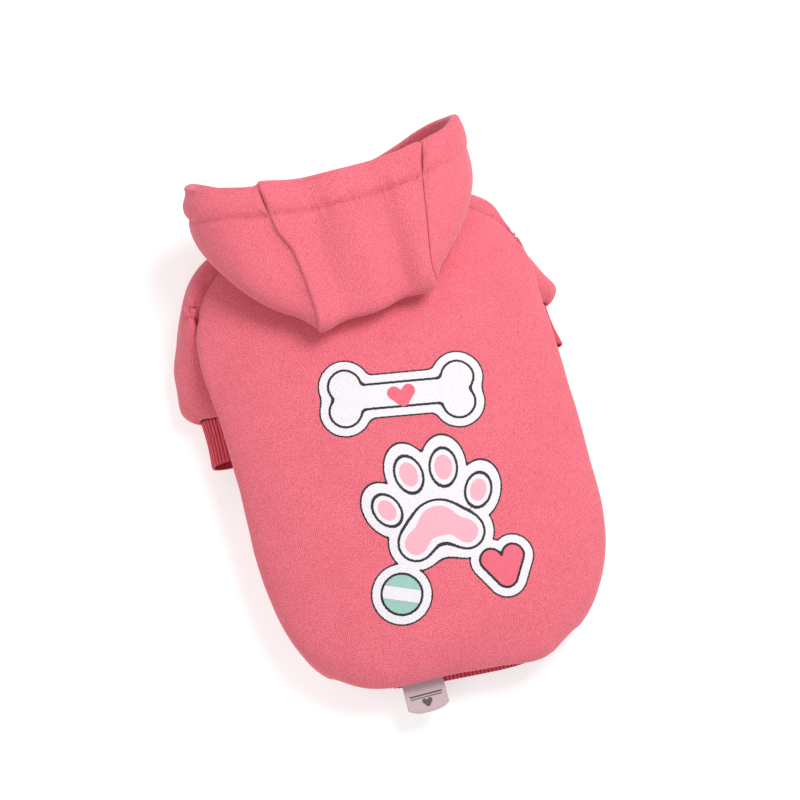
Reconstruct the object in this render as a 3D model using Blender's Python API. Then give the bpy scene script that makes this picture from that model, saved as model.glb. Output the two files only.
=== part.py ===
"""A hooded sweatshirt for a small dog, lying on its belly with the hood folded down on its back.

Metres. +Y points to the dog's head and +Z up; the garment stands on Z = 0. The sizes below drive every
piece. Each panel is one sheet of fleece: a grid laid on a surface function and thickened inwards.
"""

import math

import bmesh
import bpy
import numpy as np
from mathutils import Vector

# Cloth
FLEECE = 0.0018
RIB_KNIT = 0.0018
SEAM_GAP = 0.0006
SIDE_SEAM_GAP = 0.0013
SHARP_EDGE_DEG = 50.0

# Body: a padded tube from the neck seam to the fold above the hem band
BODY_LENGTH = 0.264
BODY_WIDTH = 0.190
BODY_HEIGHT = 0.056
BODY_ROUNDNESS = 2.35
BELLY_CURVE_DEG = 52.0
NECK_WIDTH = 0.100
NECK_HEIGHT = 0.050
NECK_SHIFT = -0.0035
HEM_SKEW = 0.05
TAIL_SHIFT = -0.0038
# How far down the sides the body's ends keep the back's outline: a power of the sine
END_CURVE = 4

# Raglan seams: where they meet the neck seam, and the underarm, as angles from the top of the back
RAGLAN_BACK_DEG = 42.0
RAGLAN_THROAT_DEG = 138.0
UNDERARM_DEG = 106.0
UNDERARM_ROW = 3
ARMHOLE_MIDDLE = (90.0, 1.0)
# Above 1 the back raglan seam runs straighter near the neck and turns out more near the underarm
RAGLAN_BEND = 1.15
SIDE_SEAM_DEG = 112.0
SIDE_SEAM_ROW = 5

# Hem band of rib knit
HEM_WIDTH = 0.120
HEM_HEIGHT = 0.0130
HEM_LIFT = 0.0075
HEM_BAND = 0.0215
HEM_PLAY = 0.0010
HEM_DRAW_IN = 0.12

# Ribs of the hem band and the cuffs
RIB_PITCH = 0.0029
RIB_DEPTH = 0.0005

# Sleeves and cuffs
SLEEVE_REACH = 0.116
SLEEVE_HEIGHT = 0.030
SLEEVE_ROUNDNESS = 0.9
# Below 1 the columns along the raglan seams spread away from the sleeve's inner side
SLEEVE_SPREAD = 0.7
ARMHOLE_PLAY = 0.07
ARMHOLE_TUCK = 3.0
CUFF_LENGTH = 0.025

# Hood, folded down
HOOD_WIDTH = 0.158
HOOD_DROP = 0.070
HOOD_RISE = 0.031
HOOD_LEAD = 0.024
HOOD_SHIFT = -0.0069
HOOD_SKEW = 0.018
HOOD_ROUNDNESS = 0.92
TUNNEL_WIDTH = 0.0165
TUNNEL_FOLD = 0.0027

# Woven label over the hem band
LABEL_WIDTH = 0.0225
LABEL_LENGTH = 0.0240
LABEL_CLOTH = 0.0005
LABEL_FOLD = 0.0008
LABEL_GAP = 0.0009
LABEL_START = 0.0130
LABEL_X = -0.0245
# Shares of the label: one leg of the loop, and how far its corners are drawn in
LABEL_LEG = 0.45
LABEL_CORNER = 0.12

FLEECE_PINK = (0.80, 0.13, 0.17, 1.0)
RIB_PINK = (0.62, 0.07, 0.10, 1.0)
LABEL_GREY = (0.55, 0.42, 0.44, 1.0)

# The body's cross sections, neck to hem seam. Lengths along the back, side and belly are shares of
# BODY_LENGTH. spread and rise: 0 as wide and high as the opening named first, 1 as the full body.
# side_z: height of the widest point, as a share of the section's height. flat: half width that lies on
# the ground, as a share of the section's. under: 1 a straight flank below the widest point, 2 a round one.
# base: how far the bottom is lifted to the hem band's, where the cloth turns inside.
BODY_SECTIONS = (
    # end, back, side, belly, spread, rise, side_z, flat, under, base
    ("neck", 0.000, -0.012, -0.031, 0.00, 0.00, 0.54, 0.52, 1.80, 0.0),
    ("neck", 0.040, 0.038, 0.022, 0.38, 0.50, 0.58, 0.50, 1.60, 0.0),
    ("neck", 0.100, 0.098, 0.086, 0.735, 0.83, 0.64, 0.49, 1.30, 0.0),
    ("neck", 0.177, 0.175, 0.168, 0.93, 1.00, 0.67, 0.50, 1.10, 0.0),
    ("neck", 0.277, 0.277, 0.277, 0.985, 1.00, 0.68, 0.51, 1.00, 0.0),
    ("hem", 0.392, 0.392, 0.392, 1.00, 0.97, 0.67, 0.51, 1.00, 0.0),
    ("hem", 0.508, 0.508, 0.504, 1.00, 0.94, 0.64, 0.54, 1.10, 0.0),
    ("hem", 0.623, 0.623, 0.612, 1.00, 0.91, 0.56, 0.63, 1.50, 0.0),
    ("hem", 0.738, 0.738, 0.712, 0.97, 0.86, 0.55, 0.66, 1.70, 0.0),
    ("hem", 0.838, 0.836, 0.790, 0.83, 0.79, 0.56, 0.68, 1.80, 0.0),
    ("hem", 0.925, 0.910, 0.842, 0.575, 0.67, 0.58, 0.70, 1.90, 0.0),
    ("hem", 0.984, 0.948, 0.873, 0.33, 0.47, 0.60, 0.72, 1.90, 0.02),
    ("hem", 1.006, 0.957, 0.887, 0.16, 0.27, 0.62, 0.72, 1.90, 0.38),
    ("hem", 0.990, 0.937, 0.872, 0.05, 0.10, 0.64, 0.72, 1.90, 0.88),
    ("hem", 0.925, 0.888, 0.842, 0.00, 0.00, 0.67, 0.72, 1.90, 1.00),
)
HEM_SEAM_ROW = len(BODY_SECTIONS) - 1
SHIFT_ROWS = (2.0, 7.0)
SKEW_ROWS = (8.5, 12.0)

# The hood's rings past the neck seam, as far as the rim. spread: 0 as wide as the neck, 1 as the hood.
# back and back_z: shares of HOOD_DROP behind the neck and of HOOD_RISE above the body. side and throat:
# shares of HOOD_LEAD ahead of the neck. side_z and throat_z: shares of the whole hood's height.
# left and right: the seams of the centre panel, in degrees from the back.
HOOD_RINGS = (
    # spread, shift, back, back_z, side, side_z, throat, throat_z, left, right
    (0.06, 0.10, -0.034, -0.040, 0.26, 0.380, 0.47, 0.006, -30.0, 30.0),
    (0.28, 0.30, 0.140, 0.045, 0.30, 0.475, 0.59, 0.008, -26.0, 29.0),
    (0.70, 0.60, 0.600, 0.055, 0.25, 0.545, 0.70, 0.018, -20.0, 27.0),
    (0.97, 0.85, 0.890, 0.110, 0.17, 0.585, 0.78, 0.035, -18.5, 27.5),
    (1.03, 1.00, 1.000, 0.330, 0.18, 0.640, 0.84, 0.060, -18.5, 28.0),
    (1.02, 1.00, 0.940, 0.580, 0.34, 0.700, 0.91, 0.085, -19.5, 29.0),
    (0.99, 1.00, 0.600, 0.790, 0.54, 0.755, 0.99, 0.120, -22.0, 33.0),
    (0.95, 1.00, 0.205, 0.940, 0.76, 0.800, 1.09, 0.160, -26.0, 37.0),
    (0.97, 1.00, -0.080, 1.000, 0.98, 0.835, 1.20, 0.200, -28.0, 40.5),
)
NECK_SEAMS_DEG = (-31.0, 31.0)
RIM_ROW = len(HOOD_RINGS)
TUNNEL_DEEPEST = 1.9

# The left and right sleeves' rings past the armhole. The corners are shares of SLEEVE_REACH, in X from
# the middle and in Y behind the neck seam; the heights are shares of SLEEVE_HEIGHT.
LEFT_SLEEVE = (
    # inner_x, inner_y, outer_x, outer_y, middle_z, top_z, bottom_z
    (0.875, 0.345, 0.695, 0.040, 0.92, 1.36, 0.10),
    (0.850, 0.450, 0.860, 0.190, 0.70, 1.22, 0.00),
    (0.780, 0.580, 0.948, 0.415, 0.53, 1.06, 0.00),
    (0.735, 0.680, 0.985, 0.600, 0.46, 0.96, 0.00),
    (0.695, 0.775, 0.992, 0.725, 0.42, 0.86, 0.00),
    (0.675, 0.830, 0.926, 0.785, 0.36, 0.70, 0.015),
)
RIGHT_SLEEVE = (
    (0.785, 0.360, 0.645, 0.050, 0.84, 1.26, 0.10),
    (0.745, 0.450, 0.715, 0.200, 0.62, 1.10, 0.00),
    (0.690, 0.520, 0.795, 0.345, 0.48, 0.94, 0.00),
    (0.640, 0.555, 0.862, 0.490, 0.38, 0.78, 0.00),
    (0.595, 0.585, 0.900, 0.565, 0.32, 0.66, 0.00),
    (0.570, 0.625, 0.842, 0.620, 0.29, 0.57, 0.015),
)
SLEEVE_END_ROW = len(LEFT_SLEEVE)

# Soft folds in the cloth. at_deg and along: the middle, as an angle and a row. wide_deg and long: the
# reach. lift: height of the fold, as a share of FLEECE, and below zero for a dent.
HOOD_FOLDS = (
    # at_deg, along, wide_deg, long, lift
    (-9.0, 7.8, 6.0, 1.3, -1.2),
    (16.0, 7.2, 7.0, 1.8, -1.6),
    (3.0, 7.0, 6.0, 1.6, 0.8),
    (-75.0, 8.6, 22.0, 0.7, -0.9),
    (-48.0, 6.8, 14.0, 1.4, 0.9),
    (-15.5, 5.3, 6.5, 1.2, 3.0),
    (24.5, 5.3, 6.5, 1.3, 2.6),
)
# Stretches of the rim that stand further ahead: pull is a share of HOOD_LEAD
RIM_PULLS = (
    # at_deg, wide_deg, pull
    (132.0, 26.0, 0.22),
    (-118.0, 26.0, 0.10),
    (48.0, 30.0, -0.14),
    (-78.0, 26.0, -0.12),
)
BODY_FOLDS = (
    (46.0, 4.2, 12.0, 1.6, -0.7),
    (30.0, 8.6, 12.0, 1.3, -0.5),
    (-40.0, 6.6, 16.0, 2.0, 0.5),
    (62.0, 6.0, 14.0, 1.8, 0.5),
    (38.0, 11.8, 16.0, 1.2, 1.8),
    (-40.0, 11.4, 18.0, 1.2, 0.5),
)

# Grids: the body and the sleeves share their rows along the raglan seams
ROWS_PER_SECTION = 2
BACK_COLUMNS = 20
BELLY_COLUMNS = 10
RAGLAN_COLUMNS = UNDERARM_ROW * ROWS_PER_SECTION
NECKLINE_COLUMNS = 5
SLEEVE_COLUMNS = 2 * RAGLAN_COLUMNS + NECKLINE_COLUMNS
SLEEVE_ROWS = 12
HOOD_CENTRE_COLUMNS = 8
HOOD_SIDE_COLUMNS = 12
HOOD_ROWS = 18
TUNNEL_ROWS = 5
SEAM_TURN_ROWS = 2.0
LABEL_GRID = (6, 14)

# Steps for slopes: in degrees, in rows of a table, and as shares of a sheet
STEP_DEG = 1.0
STEP_ROW = 0.05
STEP_SHARE = 0.004
GAP_STEP_SHARE = 0.01

# Folds reach no further down the body's sides, and lower lifts are left out
FOLDS_END_DEG = 88.0
LEAST_LIFT = 0.02


def through(ring, last, place):
    """A place between 0 and last on a smooth curve through ring(0), ring(1) ... ring(last)."""
    place = min(max(place, 0.0), float(last))
    low = min(int(place), last - 1)
    t = place - low
    a, b, c, d = (ring(min(max(low + k, 0), last)) for k in (-1, 0, 1, 2))
    return (b * 2 + (c - a) * t + (a * 2 - b * 5 + c * 4 - d) * t * t + (b * 3 - a - c * 3 + d) * t**3) / 2


def signed_power(value, power):
    """The power of a value's size, with the value's sign."""
    return math.copysign(abs(value) ** power, value)


def smooth_step(low, high, value):
    """0 below low, 1 above high and a smooth rise between them."""
    t = min(max((value - low) / (high - low), 0.0), 1.0)
    return t * t * (3 - 2 * t)


def fold_lift(folds, angle_deg, place):
    """How far soft folds lift the cloth at an angle and a row."""
    return FLEECE * sum(
        lift * math.exp(-(((angle_deg - at) / wide) ** 2) - ((place - along) / long) ** 2)
        for at, along, wide, long, lift in folds
    )


def normal_of(surface, u, v, step_u, step_v):
    """The direction square to a surface at one place, from four points round it."""
    across = surface(u + step_u, v) - surface(u - step_u, v)
    along = surface(u, v + step_v) - surface(u, v - step_v)
    return across.cross(along).normalized()


def body_rows():
    """The sections in metres: y at the back, side and belly, half width, top, side, flat, under, bottom."""
    ends = {"neck": (NECK_WIDTH / 2, NECK_HEIGHT), "hem": (HEM_WIDTH / 2, HEM_LIFT + HEM_HEIGHT)}
    rows = []
    for end, back, side, belly, spread, rise, side_z, flat, under, base in BODY_SECTIONS:
        end_half, end_height = ends[end]
        half = end_half + (BODY_WIDTH / 2 - end_half) * spread
        top = end_height + (BODY_HEIGHT - end_height) * rise
        ys = [-share * BODY_LENGTH for share in (back, side, belly)]
        rows.append(np.array([*ys, half, top, side_z * top, flat * half, under, base * HEM_LIFT]))
    return rows


BODY_ROWS = body_rows()


def body_frame_point(angle_deg, place):
    """A point of the body before its folds: angle from the top of the back, 90 at the dog's right."""
    angle_deg = (angle_deg + 180.0) % 360.0 - 180.0
    row = through(lambda k: BODY_ROWS[k], HEM_SEAM_ROW, place)
    back_y, side_y, belly_y, half, top, side_z, flat, under, bottom = (float(value) for value in row)
    turn = abs(angle_deg)
    if turn <= 90.0:
        a = math.radians(turn)
        x = half * math.sin(a) ** (2 / BODY_ROUNDNESS)
        z = side_z + (top - side_z) * max(math.cos(a), 0.0) ** (2 / BODY_ROUNDNESS)
        y = side_y + (back_y - side_y) * (1 - math.sin(a) ** END_CURVE)
    else:
        curve = min((turn - 90.0) / BELLY_CURVE_DEG, 1.0)
        a = math.radians(90.0 * curve)
        middle = max(turn - 90.0 - BELLY_CURVE_DEG, 0.0) / (90.0 - BELLY_CURVE_DEG)
        x = flat + (half - flat) * max(math.cos(a), 0.0) ** (2 / under) - flat * middle
        z = bottom + (side_z - bottom) * (1 - math.sin(a) ** (2 / under))
        y = side_y + (belly_y - side_y) * smooth_step(0.0, 1.0, curve)
    x = math.copysign(x, angle_deg)
    y -= HEM_SKEW * x * smooth_step(*SKEW_ROWS, place)
    x += NECK_SHIFT * (1 - smooth_step(*SHIFT_ROWS, place))
    x += TAIL_SHIFT * smooth_step(*SKEW_ROWS, place)
    return Vector((x, y, max(z, 0.0)))


def body_point(angle_deg, place):
    """The body's outer surface, folds and dents on it."""
    point = body_frame_point(angle_deg, place)
    lift = fold_lift(BODY_FOLDS, angle_deg, place)
    if abs(lift) > LEAST_LIFT * FLEECE and abs(angle_deg) < FOLDS_END_DEG:
        point -= normal_of(body_frame_point, angle_deg, place, STEP_DEG, STEP_ROW) * lift
    return point


def body_inward(angle_deg, place):
    """The direction through the body's cloth, away from its outer face."""
    return normal_of(body_frame_point, angle_deg, max(place, STEP_ROW), STEP_DEG, STEP_ROW)


def back_edge_deg(place):
    """The back panel's edge: the raglan seam as far as the underarm, then the side seam."""
    share = min(place / UNDERARM_ROW, 1.0)
    raglan = RAGLAN_BACK_DEG + (UNDERARM_DEG - RAGLAN_BACK_DEG) * share**RAGLAN_BEND
    past = smooth_step(UNDERARM_ROW, SIDE_SEAM_ROW, place)
    return raglan + (SIDE_SEAM_DEG - UNDERARM_DEG) * past


def belly_edge_deg(place):
    """The belly panel's edge, which runs along the back panel's from the underarm on."""
    share = min(place / UNDERARM_ROW, 1.0)
    return back_edge_deg(place) + (RAGLAN_THROAT_DEG - RAGLAN_BACK_DEG) * (1 - share)


def armhole_place(column):
    """The armhole as angle and row: up the back raglan seam, down the neckline, back along the belly's."""
    if column <= RAGLAN_COLUMNS:
        place = UNDERARM_ROW * (1 - column / RAGLAN_COLUMNS)
        return back_edge_deg(place), place
    column -= RAGLAN_COLUMNS
    if column <= NECKLINE_COLUMNS:
        return RAGLAN_BACK_DEG + (RAGLAN_THROAT_DEG - RAGLAN_BACK_DEG) * column / NECKLINE_COLUMNS, 0.0
    place = UNDERARM_ROW * (column - NECKLINE_COLUMNS) / RAGLAN_COLUMNS
    return belly_edge_deg(place), place


def sleeve_turn_deg(column):
    """A column's angle round the sleeve: -90 inner, 0 top, 90 outer, 180 bottom."""
    if column <= RAGLAN_COLUMNS:
        return -90.0 + 135.0 * (column / RAGLAN_COLUMNS) ** SLEEVE_SPREAD
    column -= RAGLAN_COLUMNS
    if column <= NECKLINE_COLUMNS:
        return 45.0 + 90.0 * column / NECKLINE_COLUMNS
    return 270.0 - 135.0 * (1 - (column - NECKLINE_COLUMNS) / RAGLAN_COLUMNS) ** SLEEVE_SPREAD


def sleeve_ring_point(side, row, column):
    """A point of one of the sleeve's rings, an oval between its inner and its outer corner."""
    inner_x, inner_y, outer_x, outer_y, middle_z, top_z, bottom_z = row
    inner = Vector((side * inner_x, -inner_y, 0.0)) * SLEEVE_REACH
    outer = Vector((side * outer_x, -outer_y, 0.0)) * SLEEVE_REACH
    a = math.radians(sleeve_turn_deg(column))
    end = top_z if math.cos(a) > 0 else bottom_z
    point = (inner + outer) / 2 + (outer - inner) / 2 * signed_power(math.sin(a), SLEEVE_ROUNDNESS)
    point.z = SLEEVE_HEIGHT * (middle_z + (end - middle_z) * abs(math.cos(a)) ** SLEEVE_ROUNDNESS)
    return point


def sleeve_point(side, column, place):
    """The sleeve's outer surface: row 0 is the armhole, the last one the cuff seam."""
    column %= SLEEVE_COLUMNS
    rows = LEFT_SLEEVE if side < 0 else RIGHT_SLEEVE
    angle_deg, row = (
        place + (middle - place) * ARMHOLE_PLAY
        for place, middle in zip(armhole_place(column), ARMHOLE_MIDDLE)
    )

    def ring(k):
        return sleeve_ring_point(side, rows[k - 1], column) if k else body_point(side * angle_deg, row)

    point = through(ring, SLEEVE_END_ROW, place)
    point.z = max(point.z, 0.0)
    return point


def evenly_round(ring, samples=360):
    """Turns a share of a closed ring's length into the share at which ring() has that point."""
    points = np.array([ring(k / samples) for k in range(samples + 1)])
    steps = np.linalg.norm(np.diff(points, axis=0), axis=1)
    lengths = np.concatenate(([0.0], np.cumsum(steps))) / steps.sum()
    shares = np.linspace(0.0, 1.0, samples + 1)
    return lambda share: float(np.interp(share % 1.0, lengths, shares))


def cuff_point(side, share_round, share_along):
    """The cuff: straight back from the sleeve's last ring, cut square."""
    rows = LEFT_SLEEVE if side < 0 else RIGHT_SLEEVE
    seam = sleeve_point(side, share_round * SLEEVE_COLUMNS, SLEEVE_END_ROW)
    middle = -SLEEVE_REACH * (rows[-1][1] + rows[-1][3]) / 2
    start = seam.y - SEAM_GAP / 2
    return Vector((seam.x, start + share_along * (middle - CUFF_LENGTH - start), seam.z))


def hem_point(angle_deg, share_along):
    """The hem band: from the hem seam, inside the body's fold, straight back."""
    seam = body_frame_point(angle_deg, HEM_SEAM_ROW)
    ahead = body_frame_point(angle_deg + STEP_DEG, HEM_SEAM_ROW)
    around = ahead - body_frame_point(angle_deg - STEP_DEG, HEM_SEAM_ROW)
    point = seam + Vector((around.z, 0.0, -around.x)).normalized() * HEM_PLAY
    point.x *= 1 - HEM_DRAW_IN * share_along
    point.y -= SEAM_GAP + share_along * HEM_BAND
    return point


def hood_ring_point(angle_deg, ring):
    """A point of one of the hood's rings: 0 is the neck seam, the last one the rim."""
    if ring == 0:
        return body_frame_point(angle_deg, 0.0) + Vector((0.0, SEAM_GAP, 0.0))
    spread, shift, back, back_z, side, side_z, throat, throat_z, _, _ = HOOD_RINGS[ring - 1]
    height = BODY_HEIGHT + HOOD_RISE
    neck_half = NECK_WIDTH / 2
    half = neck_half + (HOOD_WIDTH / 2 - neck_half) * spread
    back_y, back_z = -back * HOOD_DROP, BODY_HEIGHT + back_z * HOOD_RISE
    side_y, side_z = side * HOOD_LEAD, side_z * height
    throat_y, throat_z = throat * HOOD_LEAD, throat_z * height
    a = math.radians(angle_deg)
    c = math.cos(a)
    x = half * signed_power(math.sin(a), HOOD_ROUNDNESS)
    y = side_y + (back_y - throat_y) / 2 * c + ((back_y + throat_y) / 2 - side_y) * c * c
    pull = sum(share * math.exp(-(((angle_deg - at) / wide) ** 2)) for at, wide, share in RIM_PULLS)
    y += HOOD_LEAD * pull * (ring / RIM_ROW) ** 3
    z = side_z + (back_z - throat_z) / 2 * c + ((back_z + throat_z) / 2 - side_z) * c * c
    middle = NECK_SHIFT + (HOOD_SHIFT - NECK_SHIFT) * shift
    return Vector((middle + x, y + HOOD_SKEW * x * shift, z))


def hood_frame_point(angle_deg, place):
    """A point of the hood before its folds, on a smooth curve through the rings at one angle."""
    return through(lambda ring: hood_ring_point(angle_deg, ring), RIM_ROW, place)


def hood_folded_point(angle_deg, place, depth):
    """The hood's surface with its folds, at a depth under the cloth's face."""
    place = min(max(place, 0.0), float(RIM_ROW))
    inside = min(max(place, STEP_ROW), RIM_ROW - STEP_ROW)
    normal = normal_of(hood_frame_point, angle_deg, inside, STEP_DEG, STEP_ROW)
    lift = fold_lift(HOOD_FOLDS, angle_deg, place) * smooth_step(0.0, 1.0, place)
    return hood_frame_point(angle_deg, place) + normal * (lift - depth)


def hood_point(angle_deg, place):
    """The hood's outer face. Past the rim the cloth turns over and runs back inside, as deep as its fold."""
    past = place - RIM_ROW
    if past <= 0:
        return hood_folded_point(angle_deg, place, 0.0)
    near = hood_folded_point(angle_deg, RIM_ROW - 1.0, 0.0)
    rim = hood_folded_point(angle_deg, RIM_ROW, 0.0)
    rows_deep = min((TUNNEL_WIDTH - TUNNEL_FOLD) / (rim - near).length, TUNNEL_DEEPEST)
    if past > 1:
        return hood_folded_point(angle_deg, RIM_ROW - rows_deep * (past - 1.0), 2 * TUNNEL_FOLD)
    turn = math.pi * past
    up = (rim - hood_folded_point(angle_deg, RIM_ROW - 2 * STEP_ROW, 0.0)).normalized()
    face = hood_folded_point(angle_deg, RIM_ROW, TUNNEL_FOLD * (1 - math.cos(turn)))
    return face + up * TUNNEL_FOLD * math.sin(turn)


def hood_seam_deg(which, place):
    """The left (0) or right (1) seam of the hood's centre panel, in degrees from the back."""
    row = through(
        lambda ring: np.array(HOOD_RINGS[ring - 1][-2:] if ring else NECK_SEAMS_DEG), RIM_ROW, place
    )
    return float(row[which])


def material_of(name, colour, roughness):
    """A plain material of one colour."""
    material = bpy.data.materials.new(name)
    material.use_nodes = True
    shader = material.node_tree.nodes["Principled BSDF"]
    shader.inputs["Base Color"].default_value = colour
    shader.inputs["Roughness"].default_value = roughness
    shader.inputs["Metallic"].default_value = 0.0
    return material


def held_back(surface, u, v, closed, gap):
    """The grid's place, drawn back from the sheet's edge by half of the seam's gap."""
    left, right = max(u - GAP_STEP_SHARE, 0.0), min(u + GAP_STEP_SHARE, 1.0)
    near, far = max(v - GAP_STEP_SHARE, 0.0), min(v + GAP_STEP_SHARE, 1.0)
    width = (surface(right, v) - surface(left, v)).length / (right - left)
    length = (surface(u, far) - surface(u, near)).length / (far - near)
    back_u = 0.0 if closed else gap / 2 / max(width, gap)
    back_v = gap / 2 / max(length, gap)
    return min(max(u, back_u), 1 - back_u), min(max(v, back_v), 1 - back_v)


def across_ring(surface, side):
    """A function for the direction through a tube's cloth, square to the ring and to +Y at its sides."""

    def inward(u, v):
        around = surface(u + STEP_SHARE, v) - surface(u - STEP_SHARE, v)
        return Vector((around.z, 0.0, -around.x)).normalized() * side

    return inward


def inward_of(surface, closed, side):
    """A function for the direction through the cloth, away from its outer face."""

    def inward(u, v):
        u = u if closed else min(max(u, STEP_SHARE), 1 - STEP_SHARE)
        v = min(max(v, STEP_SHARE), 1 - STEP_SHARE)
        return normal_of(surface, u, v, STEP_SHARE, STEP_SHARE) * -side

    return inward


def from_seam(at_seam, inward, rows):
    """Turns the cloth's direction at its first row to the one of the piece that it is sewn to."""
    return lambda u, v: at_seam(u).lerp(inward(u, v), smooth_step(0.0, SEAM_TURN_ROWS, v * rows)).normalized()


def sheet(
    name, surface, grid, material, parent, wall=FLEECE, closed=False, inward=None, ribs=0, gap=SEAM_GAP
):
    """One piece of cloth: a grid laid on surface(u, v), with its wall extruded inwards."""
    inward = inward or inward_of(surface, closed, 1.0)
    bm = bmesh.new()
    bmesh.ops.create_grid(bm, x_segments=grid[0], y_segments=grid[1], size=0.5)
    place = bm.verts.layers.float_vector.new("place")
    for vertex in bm.verts:
        u, v = held_back(surface, vertex.co.x + 0.5, vertex.co.y + 0.5, closed, gap)
        vertex[place] = (u, v, 0.0)
        ridge = RIB_DEPTH * (round(u * ribs * 2) % 2)
        vertex.co = surface(u, v) - inward(u, v) * ridge
    if closed:
        bmesh.ops.remove_doubles(bm, verts=bm.verts, dist=1e-6)
    wall_side = bmesh.ops.extrude_face_region(bm, geom=bm.faces[:])["geom"]
    for vertex in (element for element in wall_side if isinstance(element, bmesh.types.BMVert)):
        u, v, _ = vertex[place]
        vertex.co = surface(u, v) + inward(u, v) * wall
    bmesh.ops.recalc_face_normals(bm, faces=bm.faces)
    bm.verts.layers.float_vector.remove(place)
    mesh = bpy.data.meshes.new(name)
    bm.to_mesh(mesh)
    bm.free()
    mesh.materials.append(material)
    mesh.shade_smooth()
    mesh.set_sharp_from_angle(angle=math.radians(SHARP_EDGE_DEG))
    piece = bpy.data.objects.new(name, mesh)
    bpy.context.collection.objects.link(piece)
    piece.parent = parent
    return piece


def ring_length(surface, samples=72):
    """The length once round a closed surface's first row."""
    points = [surface(k / samples, 0.0) for k in range(samples)]
    return sum((points[k] - points[k - 1]).length for k in range(samples))


def make_body(fleece, parent):
    """Makes the back and the belly panel, which meet along the side seams."""
    rows = HEM_SEAM_ROW * ROWS_PER_SECTION

    def back(u, v):
        place = v * HEM_SEAM_ROW
        return body_point((2 * u - 1) * back_edge_deg(place), place)

    def belly(u, v):
        place = v * HEM_SEAM_ROW
        edge = belly_edge_deg(place)
        return body_point(edge + (360.0 - 2 * edge) * u, place)

    for name, surface, columns in (("back_panel", back, BACK_COLUMNS), ("belly_panel", belly, BELLY_COLUMNS)):
        inward = inward_of(surface, False, -1.0)
        sheet(name, surface, (columns, rows), fleece, parent, inward=inward, gap=SIDE_SEAM_GAP)


def make_sleeve(name, side, fleece, rib, parent):
    """Makes a sleeve and its cuff; side is the sign of the side's X."""

    def sleeve(u, v):
        return sleeve_point(side, u * SLEEVE_COLUMNS, v * SLEEVE_END_ROW)

    place_round = evenly_round(lambda u: cuff_point(side, u, 0.0))

    def cuff(u, v):
        return cuff_point(side, place_round(u), v)

    middle = sum((sleeve(k / SLEEVE_COLUMNS, 0.0) for k in range(SLEEVE_COLUMNS)), Vector()) / SLEEVE_COLUMNS
    across = inward_of(sleeve, True, -side)

    def inward(u, v):
        angle_deg, row = armhole_place(u * SLEEVE_COLUMNS)
        turned = smooth_step(0.0, SEAM_TURN_ROWS, v * SLEEVE_ROWS)
        into_hole = (middle - sleeve(u, 0.0)).normalized() * ARMHOLE_TUCK * turned * (1 - turned)
        return (body_inward(side * angle_deg, row).lerp(across(u, v), turned) + into_hole).normalized()

    sheet(f"{name}_sleeve", sleeve, (SLEEVE_COLUMNS, SLEEVE_ROWS), fleece, parent, FLEECE, True, inward)
    ribs = round(ring_length(cuff) / RIB_PITCH)
    inward = across_ring(cuff, side)
    sheet(f"{name}_cuff", cuff, (2 * ribs, 1), rib, parent, RIB_KNIT, True, inward, ribs)


def make_hem_band(rib, parent):
    """Makes the hem band, a tube of rib knit."""
    place_round = evenly_round(lambda u: hem_point(360.0 * u - 180.0, 0.0))

    def band(u, v):
        return hem_point(360.0 * place_round(u) - 180.0, v)

    ribs = round(ring_length(band) / RIB_PITCH)
    inward = across_ring(band, 1.0)
    sheet("hem_band", band, (2 * ribs, 1), rib, parent, RIB_KNIT, True, inward, ribs)


def make_hood(fleece, parent):
    """Makes the hood's three panels, each with its share of the hem turned in at the rim."""
    rows = HOOD_ROWS + TUNNEL_ROWS
    rim_share = HOOD_ROWS / rows

    def panel(start_deg, end_deg):
        def surface(u, v):
            if v <= rim_share:
                place = RIM_ROW * v / rim_share
            else:
                place = RIM_ROW + 2.0 * (v - rim_share) / (1 - rim_share)
            start, end = start_deg(place), end_deg(place)
            return hood_point(start + (end - start) * u, place)

        return surface

    def left_seam(place):
        return hood_seam_deg(0, place)

    def right_seam(place):
        return hood_seam_deg(1, place)

    panels = (
        ("hood_centre_panel", left_seam, right_seam, HOOD_CENTRE_COLUMNS),
        ("hood_left_panel", lambda place: -180.0, left_seam, HOOD_SIDE_COLUMNS),
        ("hood_right_panel", right_seam, lambda place: 180.0, HOOD_SIDE_COLUMNS),
    )
    for name, start_deg, end_deg, columns in panels:
        surface = panel(start_deg, end_deg)
        start, end = start_deg(0.0), end_deg(0.0)

        def at_neck(u, start=start, end=end):
            return body_inward(start + (end - start) * u, 0.0)

        inward = from_seam(at_neck, inward_of(surface, False, 1.0), rows)
        sheet(name, surface, (columns, rows), fleece, parent, inward=inward)


def make_label(woven, parent):
    """A label folded in two, which lies on the hem band and hangs out past it."""
    seam = hem_point(math.degrees(math.asin((LABEL_X - TAIL_SHIFT) / (HEM_WIDTH / 2))), 0.0)
    lowest = seam.z + LABEL_GAP
    straight = LABEL_LENGTH - LABEL_FOLD

    def loop(u, v):
        turn = math.pi * min(max((v - LABEL_LEG) / (1 - 2 * LABEL_LEG), 0.0), 1.0)
        out = straight * min(v / LABEL_LEG, 1.0, (1 - v) / LABEL_LEG)
        corner = LABEL_CORNER * LABEL_LENGTH * (2 * abs(u - 0.5)) ** 3 * (out / straight) ** 2
        y = seam.y - LABEL_START - out - LABEL_FOLD * math.sin(turn) + corner
        z = lowest + LABEL_FOLD * (1 - math.cos(turn))
        return Vector((LABEL_X + (u - 0.5) * LABEL_WIDTH, y, z))

    sheet("side_label", loop, LABEL_GRID, woven, parent, LABEL_CLOTH)


def stand_on_origin(parent):
    """Puts the middle of the garment's footprint on the origin."""
    bpy.context.view_layer.update()
    corners = [piece.matrix_world @ Vector(corner) for piece in parent.children for corner in piece.bound_box]
    for axis in (0, 1):
        places = [corner[axis] for corner in corners]
        parent.location[axis] = -(min(places) + max(places)) / 2


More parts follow.
